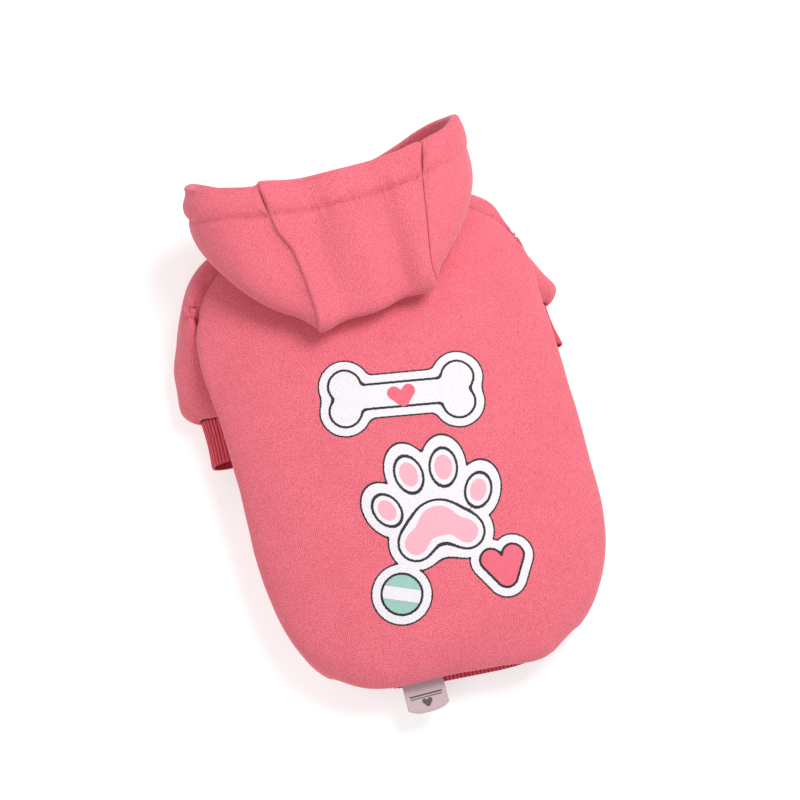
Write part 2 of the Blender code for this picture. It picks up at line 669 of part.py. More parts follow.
def main():
    """Empties the file and makes the garment."""
    for leftover in list(bpy.data.objects):
        bpy.data.objects.remove(leftover)
    garment = bpy.data.objects.new("sweatshirt", None)
    bpy.context.collection.objects.link(garment)
    fleece = material_of("pink_fleece", FLEECE_PINK, 0.95)
    rib = material_of("pink_rib_knit", RIB_PINK, 0.95)
    woven = material_of("woven_label", LABEL_GREY, 0.7)
    make_body(fleece, garment)
    make_sleeve("left", -1.0, fleece, rib, garment)
    make_sleeve("right", 1.0, fleece, rib, garment)
    make_hem_band(rib, garment)
    make_hood(fleece, garment)
    make_label(woven, garment)
    stand_on_origin(garment)


main()
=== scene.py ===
"""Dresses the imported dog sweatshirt: pink fleece panels, rib knit, stitches, a printed motif and a label.

Metres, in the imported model's frame: +Y to the dog's head, +Z up, the belly on Z = 0. The body, sleeves and
hood follow the same sections as the solids, at a finer grid, with the cloth's seams, puckers and folds.
"""

import logging
import math
from dataclasses import dataclass
from enum import Enum
from typing import Callable, Optional, Sequence

import bmesh
import bpy
import numpy as np
from mathutils import Matrix, Vector, noise
from mathutils.bvhtree import BVHTree

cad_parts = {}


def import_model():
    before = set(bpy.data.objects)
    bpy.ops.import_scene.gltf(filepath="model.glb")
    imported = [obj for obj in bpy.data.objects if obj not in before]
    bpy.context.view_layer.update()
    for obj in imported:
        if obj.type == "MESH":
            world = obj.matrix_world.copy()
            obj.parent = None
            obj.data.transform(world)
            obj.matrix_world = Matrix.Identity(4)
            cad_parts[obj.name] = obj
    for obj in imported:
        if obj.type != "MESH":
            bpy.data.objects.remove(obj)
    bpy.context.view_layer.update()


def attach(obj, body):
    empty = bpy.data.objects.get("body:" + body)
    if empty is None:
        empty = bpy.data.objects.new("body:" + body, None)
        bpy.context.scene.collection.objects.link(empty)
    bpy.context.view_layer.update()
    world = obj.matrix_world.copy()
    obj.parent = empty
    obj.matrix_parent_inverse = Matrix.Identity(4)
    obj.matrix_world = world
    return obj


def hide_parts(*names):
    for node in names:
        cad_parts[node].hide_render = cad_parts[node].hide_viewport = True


LOG = logging.getLogger("sweatshirt")

ROOT = "root"
NECK_SEAM = (0.005514, 0.122317, 0.0)  # where the neck seam's middle lies in the frame
FLEECE = 0.0018  # thickness
RIB_KNIT = 0.0009  # thickness
SEAM_GAP = 0.0006
SEAM_SHADE = 0.16  # how much painted shade darkens the cloth beside a seam, in the seam's valley
SEAM_LINE = 0.0012  # how far from the seam that reaches
SEAM_EASE = 0.020  # how far from a seam the cloth is at its most uneven
PUCKER_REACH = 0.006
RING_SAMPLES = 721
RIB_COLUMNS = 10  # of each rib
RIB_ROWS = 40
RIB_SHADE = 0.85  # how dark the painted shade between two ribs is

Surface = Callable[[np.ndarray, np.ndarray], np.ndarray]


class Side(Enum):
    """The dog's left or right, as the sign of X."""

    LEFT = -1
    RIGHT = 1


class HoodPanel(Enum):
    """The three panels of the hood."""

    CENTRE = "centre"
    LEFT = "left"
    RIGHT = "right"


def spline(rings: np.ndarray, place: np.ndarray) -> np.ndarray:
    """Reads a smooth curve through rings at fractional ring numbers.

    Args:
        rings: one row per ring, with the same shape at each; (K, C) or (K, N, C).
        place: the N places, from 0 to K - 1.

    Returns:
        The (N, C) values.
    """
    last = len(rings) - 1
    place = np.clip(place, 0.0, last)
    low = np.minimum(place.astype(int), last - 1)
    t = (place - low)[:, None]
    index = [np.clip(low + k, 0, last) for k in (-1, 0, 1, 2)]
    if rings.ndim == 3:
        a, b, c, d = (rings[k, np.arange(len(place))] for k in index)
    else:
        a, b, c, d = (rings[k] for k in index)
    return (2 * b + (c - a) * t + (2 * a - 5 * b + 4 * c - d) * t**2 + (3 * b - a - 3 * c + d) * t**3) / 2


def signed_power(values: np.ndarray, power: float) -> np.ndarray:
    """The power of a value's size, with the value's sign."""
    return np.copysign(np.abs(values) ** power, values)


def smooth_step(low: float, high: float, values: np.ndarray) -> np.ndarray:
    """0 below low, 1 above high and a smooth rise between them."""
    t = np.clip((values - low) / (high - low), 0.0, 1.0)
    return t * t * (3 - 2 * t)


def bumps(folds: Sequence[tuple], angle_deg: np.ndarray, place: np.ndarray) -> np.ndarray:
    """Sums soft folds, each a row of at_deg, along, wide_deg, long and lift, in millimetres.

    Args:
        folds: the table of folds.
        angle_deg: the angle of each point.
        place: the row of each point.

    Returns:
        How far the cloth is lifted at each point, in metres.
    """
    lift = np.zeros_like(angle_deg)
    for at, along, wide, long, height in folds:
        lift += 0.001 * height * np.exp(-(((angle_deg - at) / wide) ** 2) - ((place - along) / long) ** 2)
    return lift


@dataclass
class Cloth:
    """A piece of cloth as a grid of points, rows along the first axis and columns along the second."""

    points: np.ndarray
    closed: bool = False
    outward: float = 1.0

    def normals(self) -> np.ndarray:
        """The outward direction at each point."""
        if self.closed:
            around = np.concatenate((self.points[:, -2:-1], self.points, self.points[:, 1:2]), axis=1)
            across = (around[:, 2:] - around[:, :-2]) / 2
        else:
            across = np.gradient(self.points, axis=1)
        normal = np.cross(across, np.gradient(self.points, axis=0)) * self.outward
        length = np.linalg.norm(normal, axis=2, keepdims=True)
        return normal / np.maximum(length, 1e-12)

    def lengths(self) -> tuple[np.ndarray, np.ndarray]:
        """Distances over the cloth from the first column and from the first row."""
        across = np.linalg.norm(np.diff(self.points, axis=1), axis=2).cumsum(axis=1)
        along = np.linalg.norm(np.diff(self.points, axis=0), axis=2).cumsum(axis=0)
        return np.pad(across, ((0, 0), (1, 0))), np.pad(along, ((1, 0), (0, 0)))

    def lifted(self, lift: np.ndarray) -> "Cloth":
        """The same cloth, moved outward by lift."""
        return Cloth(self.points + self.normals() * lift[..., None], self.closed, self.outward)

    def grounded(self) -> "Cloth":
        """The same cloth, with nothing below the ground."""
        return Cloth(np.maximum(self.points, (-np.inf, -np.inf, 0.0)), self.closed, self.outward)


def grid_of(surface: Surface, rows: int, columns: int) -> np.ndarray:
    """Lays a grid on a surface.

    Args:
        surface: takes the shares u, across, and v, along, as flat arrays.
        rows: steps along.
        columns: steps across.

    Returns:
        The (rows + 1, columns + 1, 3) points.
    """
    v, u = np.meshgrid(np.linspace(0, 1, rows + 1), np.linspace(0, 1, columns + 1), indexing="ij")
    return surface(u.ravel(), v.ravel()).reshape(rows + 1, columns + 1, 3)


def slack(points: np.ndarray, seed: float, size: float, height: float) -> np.ndarray:
    """Soft unevenness of the cloth, from noise in space.

    Args:
        points: the grid.
        seed: an offset into the noise.
        size: the unevenness's scale.
        height: its height.

    Returns:
        The lift at each point.
    """
    shift = Vector((seed, 2 * seed, 3 * seed))
    flat = points.reshape(-1, 3) / size
    lift = np.array([noise.noise(Vector(point) + shift) for point in flat])
    return height * lift.reshape(points.shape[:2])


def evened(points: np.ndarray, columns: int) -> np.ndarray:
    """Spaces the columns evenly over the cloth, row by row.

    Args:
        points: a grid with X, Y and Z first, and any other values of each point after them.
        columns: steps across in the result.

    Returns:
        The (rows + 1, columns + 1, K) grid.
    """
    steps = np.linalg.norm(np.diff(points[..., :3], axis=1), axis=2)
    lengths = np.pad(steps.cumsum(axis=1), ((0, 0), (1, 0)))
    spaced = np.empty((points.shape[0], columns + 1, points.shape[2]))
    for row, length in enumerate(lengths):
        at = np.linspace(0.0, length[-1], columns + 1)
        for value in range(points.shape[2]):
            spaced[row, :, value] = np.interp(at, length, points[row, :, value])
    return spaced


def relaxed(points: np.ndarray, passes: int, closed: bool) -> np.ndarray:
    """Cloth with its tight creases eased out; its edges, or a tube's two ends, stay where they are."""
    eased = points.copy()
    for _ in range(passes):
        along = (eased[:-2] + eased[2:]) / 2
        if closed:
            around = (np.roll(eased[:, :-1], 1, axis=1) + np.roll(eased[:, :-1], -1, axis=1)) / 2
            eased[1:-1, :-1] = (2 * eased[1:-1, :-1] + around[1:-1] + along[:, :-1]) / 4
            eased[:, -1] = eased[:, 0]
        else:
            across = (eased[1:-1, :-2] + eased[1:-1, 2:]) / 2
            eased[1:-1, 1:-1] = (2 * eased[1:-1, 1:-1] + across + along[:, 1:-1]) / 4
    return eased


def puckers(distance: np.ndarray, along: np.ndarray, seed: float, pitch: float, height: float) -> np.ndarray:
    """Small waves that a seam draws into the cloth beside it.

    Args:
        distance: how far each point lies from the seam.
        along: how far each point lies along the seam.
        seed: an offset into the waves.
        pitch: the waves' usual length.
        height: their height at the seam.

    Returns:
        The lift at each point.
    """
    turn = 2 * math.pi * along / pitch
    waves = np.sin(turn + 2.1 * np.sin(0.37 * turn + seed) + seed)
    fade = np.exp(-(np.maximum(distance, 0.0) / PUCKER_REACH) ** 1.3)
    return height * fade * (0.65 + 0.35 * np.sin(0.23 * turn + 3 * seed)) * waves


def from_seam(distance: np.ndarray, width: float = 0.0040) -> np.ndarray:
    """0 at a seam, rising steeply at first, and 1 past a width."""
    share = np.clip(1 - distance / width, 0.0, 1.0)
    return np.sqrt(np.maximum(1 - share**2, 0.0))


def seam_swell(
    distance: np.ndarray, height: float = 0.0010, width: float = 0.0040, reach: float = 0.013
) -> np.ndarray:
    """The soft swelling of cloth beside a seam, which itself stays where it is sewn."""
    return height * from_seam(distance, width) * np.exp(-((distance / reach) ** 2))


def seam_shade(distance: np.ndarray) -> np.ndarray:
    """How much painted shade darkens the cloth beside a seam, in the seam's valley."""
    return SEAM_SHADE * np.clip(1 - distance / SEAM_LINE, 0.0, 1.0)


def ribbed(ring: np.ndarray, pitch: float) -> tuple[np.ndarray, np.ndarray]:
    """Spaces a closed seam evenly for rib knit.

    Args:
        ring: points round the seam.
        pitch: the ribs' usual width.

    Returns:
        The (N, 3) spaced points, and a (1, N) wave, 0 on top of a rib and 1 between two.
    """
    lengths = np.concatenate(([0.0], np.linalg.norm(np.diff(ring, axis=0), axis=1).cumsum()))
    ribs = round(lengths[-1] / pitch)
    columns = RIB_COLUMNS * ribs
    at = np.linspace(0, lengths[-1], columns + 1)
    seam = np.column_stack([np.interp(at, lengths, ring[:, axis]) for axis in range(3)])
    wave = 0.5 + 0.5 * np.cos(2 * math.pi * ribs * np.linspace(0, 1, columns + 1))
    return seam, wave[None, :]


def smooth_object(bm: bmesh.types.BMesh, name: str, material: bpy.types.Material) -> bpy.types.Object:
    """Turns a bmesh into a smooth object with one material, and frees it."""
    mesh = bpy.data.meshes.new(name)
    bm.to_mesh(mesh)
    bm.free()
    mesh.shade_smooth()
    mesh.materials.append(material)
    piece = bpy.data.objects.new(name, mesh)
    bpy.context.collection.objects.link(piece)
    return piece


def face_tree(piece: bpy.types.Object) -> BVHTree:
    """A piece's faces without its wall, for what lies on them."""
    bm = bmesh.new()
    bm.from_mesh(piece.data)
    tree = BVHTree.FromBMesh(bm)
    bm.free()
    return tree


@dataclass
class Maker:
    """Makes mesh objects out of cloth and fits them to the frame."""

    body: str = ROOT

    def finish(self, piece: bpy.types.Object, nodes: Sequence[str], slot: str) -> None:
        """Puts a piece on the frame.

        Args:
            piece: the new piece.
            nodes: the nodes that it stands for, if any.
            slot: not used.
        """
        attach(piece, self.body)
        if nodes:
            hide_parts(*nodes)
        LOG.info("%s: %d faces", piece.name, len(piece.data.polygons))

    def cloth(
        self,
        name: str,
        cloth: Cloth,
        material: bpy.types.Material,
        wall: float,
        groove_shade: Optional[np.ndarray] = None,
    ) -> bpy.types.Object:
        """Turns a grid into a sheet with a wall on its inner side.

        Args:
            name: the piece's name.
            cloth: the grid of its outer face.
            material: its finish.
            wall: the thickness.
            groove_shade: how much painted shade each point takes in a seam's valley, between ribs or along a
                stitch line, from 0 to 1.

        Returns:
            The new object.
        """
        rows, columns = cloth.points.shape[0] - 1, cloth.points.shape[1] - 1
        across, along = cloth.lengths()
        across = across - across[:, columns // 2 : columns // 2 + 1]
        normals = cloth.normals()
        points = cloth.points + np.array(NECK_SEAM)
        bm = bmesh.new()
        bmesh.ops.create_grid(bm, x_segments=columns, y_segments=rows, size=0.5)
        uv = bm.loops.layers.uv.new("cloth_cm")
        # The share of painted shade at each point, which the finish reads.
        depth = bm.verts.layers.float.new("groove_shade")
        places = {}
        for vertex in bm.verts:
            column, row = round((vertex.co.x + 0.5) * columns), round((vertex.co.y + 0.5) * rows)
            places[vertex] = (row, column)
            vertex[depth] = 0.0 if groove_shade is None else float(groove_shade[row, column])
        for face in bm.faces:
            for loop in face.loops:
                row, column = places[loop.vert]
                loop[uv].uv = (100 * across[row, column], 100 * along[row, column])
        for vertex, (row, column) in places.items():
            vertex.co = points[row, column]
        bm.normal_update()
        bm.faces.ensure_lookup_table()
        face = bm.faces[len(bm.faces) // 2]
        row, column = places[face.verts[0]]
        if face.normal.dot(Vector(normals[row, column])) < 0:
            bmesh.ops.reverse_faces(bm, faces=bm.faces[:])
        if cloth.closed:
            bmesh.ops.remove_doubles(bm, verts=bm.verts[:], dist=1e-6)
        piece = smooth_object(bm, name, material)
        solid = piece.modifiers.new("wall", "SOLIDIFY")
        solid.thickness = wall
        solid.offset = -1.0
        return piece

    def fit(self, piece: bpy.types.Object, node: str, cloth: Cloth) -> None:
        """Args:
            piece: the new piece.
            node: the node that it stands for.
            cloth: the grid; its lengths are worked out, but not used.
        """
        self.finish(piece, [node], node)
        across, along = cloth.lengths()


class Shader:
    """A short way to write a material's nodes."""

    def __init__(self, name: str) -> None:
        """Starts an empty material with its output and a Principled shader."""
        self.material = bpy.data.materials.new(name)
        self.material.use_nodes = True
        self.tree = self.material.node_tree
        self.surface = self.tree.nodes["Principled BSDF"]

    def node(self, kind: str, inputs: Optional[dict] = None, **values: object) -> bpy.types.Node:
        """Adds a node.

        Args:
            kind: the node's type.
            inputs: a number, colour or socket for each named or numbered input.
            values: the node's own settings.

        Returns:
            The new node.
        """
        node = self.tree.nodes.new(kind)
        for key, value in values.items():
            setattr(node, key, value)
        for key, value in (inputs or {}).items():
            if isinstance(value, bpy.types.NodeSocket):
                self.tree.links.new(value, node.inputs[key])
            else:
                node.inputs[key].default_value = value
        return node

    def maths(self, operation: str, *values: object) -> bpy.types.NodeSocket:
        """A Math node's result."""
        inputs = dict(enumerate(values))
        return self.node("ShaderNodeMath", inputs, operation=operation).outputs[0]

    def mix(self, share: object, a: object, b: object) -> bpy.types.NodeSocket:
        """A colour between a and b."""
        node = self.node("ShaderNodeMix", {0: share, 6: a, 7: b}, data_type="RGBA")
        return node.outputs[2]

    def ramp(self, value: bpy.types.NodeSocket, low: float, high: float) -> bpy.types.NodeSocket:
        """0 where value is under low, 1 where it is over high."""
        inputs = {0: value, 1: low, 2: high, 3: 0.0, 4: 1.0}
        return self.node("ShaderNodeMapRange", inputs, interpolation_type="SMOOTHSTEP").outputs[0]

    def place(self) -> bpy.types.NodeSocket:
        """The place on the object, in metres."""
        return self.node("ShaderNodeTexCoord").outputs["Object"]

    def noise(
        self, place: bpy.types.NodeSocket, scale: float, detail: float = 3.0, roughness: float = 0.5
    ) -> bpy.types.Node:
        """A noise texture."""
        inputs = {"Vector": place, "Scale": scale, "Detail": detail, "Roughness": roughness}
        return self.node("ShaderNodeTexNoise", inputs)

    def shift(self, operation: str, a: object, b: object) -> bpy.types.NodeSocket:
        """A Vector Math node's result."""
        return self.node("ShaderNodeVectorMath", {0: a, 1: b}, operation=operation).outputs[0]

    def bump(self, height: bpy.types.NodeSocket, strength: float, distance: float) -> None:
        """Tilts the surface by a height."""
        inputs = {"Height": height, "Strength": strength, "Distance": distance}
        self.link(self.node("ShaderNodeBump", inputs).outputs[0], "Normal")

    def link(self, value: bpy.types.NodeSocket, name: str) -> None:
        """Links a socket to the Principled shader's input."""
        self.tree.links.new(value, self.surface.inputs[name])

    def set(self, **values: object) -> None:
        """Sets the Principled shader's own sockets; an underscore stands for a space."""
        for key, value in values.items():
            self.surface.inputs[key.replace("_", " ")].default_value = value


def darker(colour: tuple[float, ...], share: float) -> tuple[float, ...]:
    """A colour with its three channels times a share."""
    return tuple(share * value for value in colour[:3]) + (1.0,)


@dataclass(frozen=True)
class KnitFinish:
    """Knitted cloth: wales across, courses along and fuzz, with painted shade in their hollows and in the
    grooves of seams, ribs and stitch lines.
    """

    name: str
    light: tuple[float, float, float, float]
    dark: tuple[float, float, float, float]
    # the colour of the painted shade in seams, between ribs and along stitch lines
    groove_shade: tuple[float, float, float, float]
    wale_cm: float = 0.108
    course_cm: float = 0.098
    fuzz: float = 0.78
    bump: float = 0.60
    sheen: float = 0.30

    def material(self) -> bpy.types.Material:
        """Builds the material."""
        shader = Shader(self.name)
        uv = shader.node("ShaderNodeUVMap", uv_map="cloth_cm").outputs[0]
        place = shader.place()
        patches = shader.ramp(shader.noise(place, 45.0).outputs[0], 0.30, 0.75)
        wobble = shader.noise(uv, 6.0, detail=2.0).outputs["Color"]
        laid = shader.shift("ADD", uv, shader.shift("MULTIPLY", wobble, (0.12, 0.12, 0.0)))
        parts = shader.node("ShaderNodeSeparateXYZ", {0: laid})
        wale = self.wave(shader, parts.outputs[0], self.wale_cm)
        course = self.wave(shader, parts.outputs[1], self.course_cm)
        knit = shader.maths("MULTIPLY_ADD", wale, 0.52, shader.maths("MULTIPLY", course, 0.48))
        fuzz = shader.noise(place, 1700.0, roughness=0.6).outputs[0]
        inputs = {0: self.fuzz, 2: knit, 3: fuzz}
        height = shader.node("ShaderNodeMix", inputs, data_type="FLOAT").outputs[0]
        # Painted shade: the colour follows the bump's height, so the hollows of the knit and fuzz are darker;
        # the patches mixed in next are the cloth's own uneven tone.
        tone = shader.mix(shader.ramp(height, 0.33, 0.60), self.dark, self.light)
        tone = shader.mix(shader.maths("MULTIPLY", patches, 0.16), tone, self.dark)
        # Painted shade: the vertex share mixes the colour towards the shade colour in seams, between ribs and
        # along stitch lines.
        groove_shade = shader.node("ShaderNodeAttribute", attribute_name="groove_shade").outputs["Fac"]
        shader.link(shader.mix(groove_shade, tone, self.groove_shade), "Base Color")
        shader.bump(height, self.bump, 0.0006)
        shader.set(Roughness=0.92, Metallic=0.0, Sheen_Weight=self.sheen, Sheen_Roughness=0.45)
        shader.set(Sheen_Tint=(1.0, 0.78, 0.80, 1.0), Specular_IOR_Level=0.25)
        return shader.material

    def wave(self, shader: Shader, value: bpy.types.NodeSocket, pitch_cm: float) -> bpy.types.NodeSocket:
        """A smooth wave from 0 to 1 of one pitch."""
        turn = shader.maths("MULTIPLY", value, 2 * math.pi / pitch_cm)
        return shader.maths("MULTIPLY_ADD", shader.maths("SINE", turn), 0.5, 0.5)


@dataclass(frozen=True)
class InkFinish:
    """Screen-print ink, which lets the cloth's grain through."""

    name: str
    colour: tuple[float, float, float, float]

    def material(self) -> bpy.types.Material:
        """Builds the material."""
        shader = Shader(self.name)
        grain = shader.noise(shader.place(), 1400.0).outputs[0]
        worn = darker(self.colour, 0.88)
        shader.link(shader.mix(shader.ramp(grain, 0.35, 0.62), worn, self.colour), "Base Color")
        shader.bump(grain, 0.25, 0.0003)
        shader.set(Roughness=0.62, Specular_IOR_Level=0.35)
        return shader.material


@dataclass(frozen=True)
class ThreadFinish:
    """Plain sewing thread."""

    name: str
    colour: tuple[float, float, float, float]

    def material(self) -> bpy.types.Material:
        """Builds the material."""
        shader = Shader(self.name)
        twist = shader.noise(shader.place(), 2500.0, detail=2.0).outputs[0]
        shader.link(shader.mix(twist, darker(self.colour, 0.75), self.colour), "Base Color")
        shader.set(Roughness=0.6, Sheen_Weight=0.2)
        return shader.material


# Each finish's third colour is the painted shade in its seams, between its ribs and along its stitch lines.
PINK_FLEECE = KnitFinish(
    "pink_fleece", (0.870, 0.192, 0.246, 1.0), (0.560, 0.084, 0.116, 1.0), (0.42, 0.030, 0.050, 1.0)
)
PINK_RIB = KnitFinish(
    "pink_rib",
    (0.900, 0.150, 0.195, 1.0),
    (0.700, 0.085, 0.120, 1.0),
    (0.340, 0.020, 0.036, 1.0),
    fuzz=0.35,
    sheen=0.2,
)
SEAM_THREAD = ThreadFinish("seam_thread", (0.80, 0.13, 0.18, 1.0))


@dataclass
class Body:
    """The body: a padded tube from the neck seam to the hem seam inside its rear fold."""

    length: float = 0.264
    width: float = 0.190
    height: float = 0.056
    roundness: float = 2.35
    belly_curve_deg: float = 52.0
    neck: tuple[float, float] = (0.100, 0.050)
    neck_shift: float = -0.0035
    hem_skew: float = 0.05
    tail_shift: float = -0.0038
    hem: tuple[float, float] = (0.120, 0.013)
    hem_lift: float = 0.0075
    raglan_deg: tuple[float, float] = (42.0, 138.0)
    underarm_deg: float = 106.0
    underarm_row: int = 3
    side_seam_deg: float = 112.0
    side_seam_rows: float = 2.0
    raglan_bend: float = 1.15
    back_relax: int = 10
    belly_relax: int = 4
    rows: int = 220
    back_columns: int = 220
    belly_columns: int = 110

    # end, back, side, belly, spread, rise, side_z, flat, under, base
    SECTIONS = (
        ("neck", 0.000, -0.012, -0.031, 0.00, 0.00, 0.54, 0.52, 1.80, 0.0),
        ("neck", 0.040, 0.038, 0.022, 0.38, 0.50, 0.58, 0.50, 1.60, 0.0),
        ("neck", 0.100, 0.098, 0.086, 0.735, 0.83, 0.64, 0.49, 1.30, 0.0),
        ("neck", 0.177, 0.175, 0.168, 0.93, 1.00, 0.67, 0.50, 1.10, 0.0),
        ("neck", 0.277, 0.277, 0.277, 0.985, 1.00, 0.68, 0.51, 1.00, 0.0),
        ("hem", 0.392, 0.392, 0.392, 1.00, 0.97, 0.67, 0.51, 1.00, 0.0),
        ("hem", 0.508, 0.508, 0.504, 1.00, 0.94, 0.64, 0.54, 1.10, 0.0),
        ("hem", 0.623, 0.623, 0.612, 1.00, 0.91, 0.56, 0.63, 1.50, 0.0),
        ("hem", 0.738, 0.738, 0.712, 0.97, 0.86, 0.55, 0.66, 1.70, 0.0),
        ("hem", 0.838, 0.836, 0.790, 0.83, 0.79, 0.56, 0.68, 1.80, 0.0),
        ("hem", 0.925, 0.910, 0.842, 0.575, 0.67, 0.58, 0.70, 1.90, 0.0),
        ("hem", 0.984, 0.948, 0.873, 0.33, 0.47, 0.60, 0.72, 1.90, 0.02),
        ("hem", 1.006, 0.957, 0.887, 0.16, 0.27, 0.62, 0.72, 1.90, 0.38),
        ("hem", 0.990, 0.937, 0.872, 0.05, 0.10, 0.64, 0.72, 1.90, 0.88),
        ("hem", 0.925, 0.888, 0.842, 0.00, 0.00, 0.67, 0.72, 1.90, 1.00),
    )
    NECK_ROWS = (2.0, 7.0)  # where the shift of the neck runs out
    TAIL_ROWS = (8.5, 12.0)  # where the shift and skew of the tail set in
    FOLDS = (
        # at_deg, along, wide_deg, long, lift
        (46.0, 4.2, 12.0, 1.6, -1.3),
        (30.0, 8.6, 12.0, 1.3, -0.9),
        (-40.0, 6.6, 16.0, 2.0, 0.9),
        (62.0, 6.0, 14.0, 1.8, 0.9),
        (38.0, 11.8, 16.0, 1.2, 3.2),
        (-40.0, 11.4, 18.0, 1.2, 0.9),
        (-86.0, 3.7, 12.0, 0.9, 4.0),
        (86.0, 3.3, 12.0, 0.8, 2.6),
    )

    def __post_init__(self) -> None:
        """Works out the sections as real sizes."""
        ends = {
            "neck": (self.neck[0] / 2, self.neck[1]),
            "hem": (self.hem[0] / 2, self.hem_lift + self.hem[1]),
        }
        table = []
        for end, back, side, belly, spread, rise, side_z, flat, under, base in self.SECTIONS:
            end_half, end_height = ends[end]
            half = end_half + (self.width / 2 - end_half) * spread
            top = end_height + (self.height - end_height) * rise
            ys = [-share * self.length for share in (back, side, belly)]
            table.append((*ys, half, top, side_z * top, flat * half, under, base * self.hem_lift))
        self.table = np.array(table)
        self.last = len(table) - 1

    def frame(self, angle_deg: np.ndarray, place: np.ndarray) -> np.ndarray:
        """The body's outer surface before its folds.

        Args:
            angle_deg: the angle from the top of the back, 90 at the dog's right.
            place: the row, 0 at the neck seam.

        Returns:
            The (N, 3) points.
        """
        angle = (angle_deg + 180.0) % 360.0 - 180.0
        back_y, side_y, belly_y, half, top, side_z, flat, under, bottom = spline(self.table, place).T
        turn = np.abs(angle)
        a = np.radians(np.minimum(turn, 90.0))
        cos_a = np.maximum(np.cos(a), 0.0)
        upper_x = half * np.sin(a) ** (2 / self.roundness)
        upper_z = side_z + (top - side_z) * cos_a ** (2 / self.roundness)
        upper_y = side_y + (back_y - side_y) * (1 - np.sin(a) ** 4)
        curve = np.clip((turn - 90.0) / self.belly_curve_deg, 0.0, 1.0)
        b = np.radians(90.0 * curve)
        middle = np.maximum(turn - 90.0 - self.belly_curve_deg, 0.0) / (90.0 - self.belly_curve_deg)
        lower_x = flat + (half - flat) * np.maximum(np.cos(b), 0.0) ** (2 / under) - flat * middle
        lower_z = bottom + (side_z - bottom) * (1 - np.sin(b) ** (2 / under))
        lower_y = side_y + (belly_y - side_y) * smooth_step(0.0, 1.0, curve)
        upper = turn <= 90.0
        x = np.copysign(np.where(upper, upper_x, lower_x), angle)
        tail = smooth_step(*self.TAIL_ROWS, place)
        y = np.where(upper, upper_y, lower_y) - self.hem_skew * x * tail
        x = x + self.neck_shift * (1 - smooth_step(*self.NECK_ROWS, place)) + self.tail_shift * tail
        z = np.maximum(np.where(upper, upper_z, lower_z), 0.0)
        return np.stack((x, y, z), axis=1)

    def back_edge_deg(self, place: np.ndarray) -> np.ndarray:
        """The back panel's edge: the raglan seam as far as the underarm, then the side seam."""
        share = np.minimum(place / self.underarm_row, 1.0)
        raglan = self.raglan_deg[0] + (self.underarm_deg - self.raglan_deg[0]) * share**self.raglan_bend
        past = smooth_step(self.underarm_row, self.underarm_row + self.side_seam_rows, place)
        return raglan + (self.side_seam_deg - self.underarm_deg) * past

    def belly_edge_deg(self, place: np.ndarray) -> np.ndarray:
        """The belly panel's edge, along the back panel's from the underarm on."""
        share = np.minimum(place / self.underarm_row, 1.0)
        return self.back_edge_deg(place) + (self.raglan_deg[1] - self.raglan_deg[0]) * (1 - share)

    def build(self, maker: Maker, fleece: bpy.types.Material) -> BVHTree:
        """Makes the back and the belly panel.

        Args:
            maker: makes and fits the pieces.
            fleece: their finish.

        Returns:
            The back panel's outer face, for what is printed on it.
        """

        def back(u: np.ndarray, v: np.ndarray) -> np.ndarray:
            place = v * self.last
            return self.frame((2 * u - 1) * self.back_edge_deg(place), place)

        def belly(u: np.ndarray, v: np.ndarray) -> np.ndarray:
            place = v * self.last
            edge = self.belly_edge_deg(place)
            return self.frame(edge + (360.0 - 2 * edge) * u, place)

        columns = 3 * self.back_columns
        place = np.linspace(0, self.last, self.rows + 1)[:, None] + np.zeros((1, columns + 1))
        angle = (2 * np.linspace(0, 1, columns + 1)[None, :] - 1) * self.back_edge_deg(place)
        points = np.concatenate((grid_of(back, self.rows, columns), angle[..., None]), axis=2)
        points = evened(points, self.back_columns)
        place, angle = place[:, : self.back_columns + 1], points[..., 3]
        cloth = Cloth(relaxed(points[..., :3], self.back_relax, False), outward=-1.0)
        across, along = cloth.lengths()
        side = np.minimum(across, across[:, -1:] - across)
        fade = smooth_step(0.0, SEAM_EASE, side)
        lift = bumps(self.FOLDS, angle, place) * fade
        sag = slack(cloth.points, seed=3.0, size=0.045, height=0.0011)
        lift += sag * fade * smooth_step(0.0, SEAM_EASE, along)
        lift += slack(cloth.points, seed=7.0, size=0.014, height=0.00022)
        lift += puckers(side, along, seed=1.0, pitch=0.0075, height=0.00030)
        cloth = cloth.lifted(lift * from_seam(side) + seam_swell(side))
        # The last argument paints shade into the valleys of the seams.
        piece = maker.cloth("back_fleece", cloth, fleece, FLEECE, seam_shade(side))
        maker.fit(piece, "back_panel", cloth)
        tree = face_tree(piece)

        points = evened(grid_of(belly, self.rows, 3 * self.belly_columns), self.belly_columns)
        under = Cloth(relaxed(points, self.belly_relax, False), outward=-1.0)
        across, along = under.lengths()
        side = np.minimum(across, across[:, -1:] - across)
        lift = from_seam(side) * puckers(side, along, seed=1.0, pitch=0.0075, height=0.0002)
        lifted = under.lifted(seam_swell(side) + lift).grounded()
        # The last argument paints shade into the valleys of the seams.
        piece = maker.cloth("belly_fleece", lifted, fleece, FLEECE, seam_shade(side))
        maker.fit(piece, "belly_panel", under)
        return tree


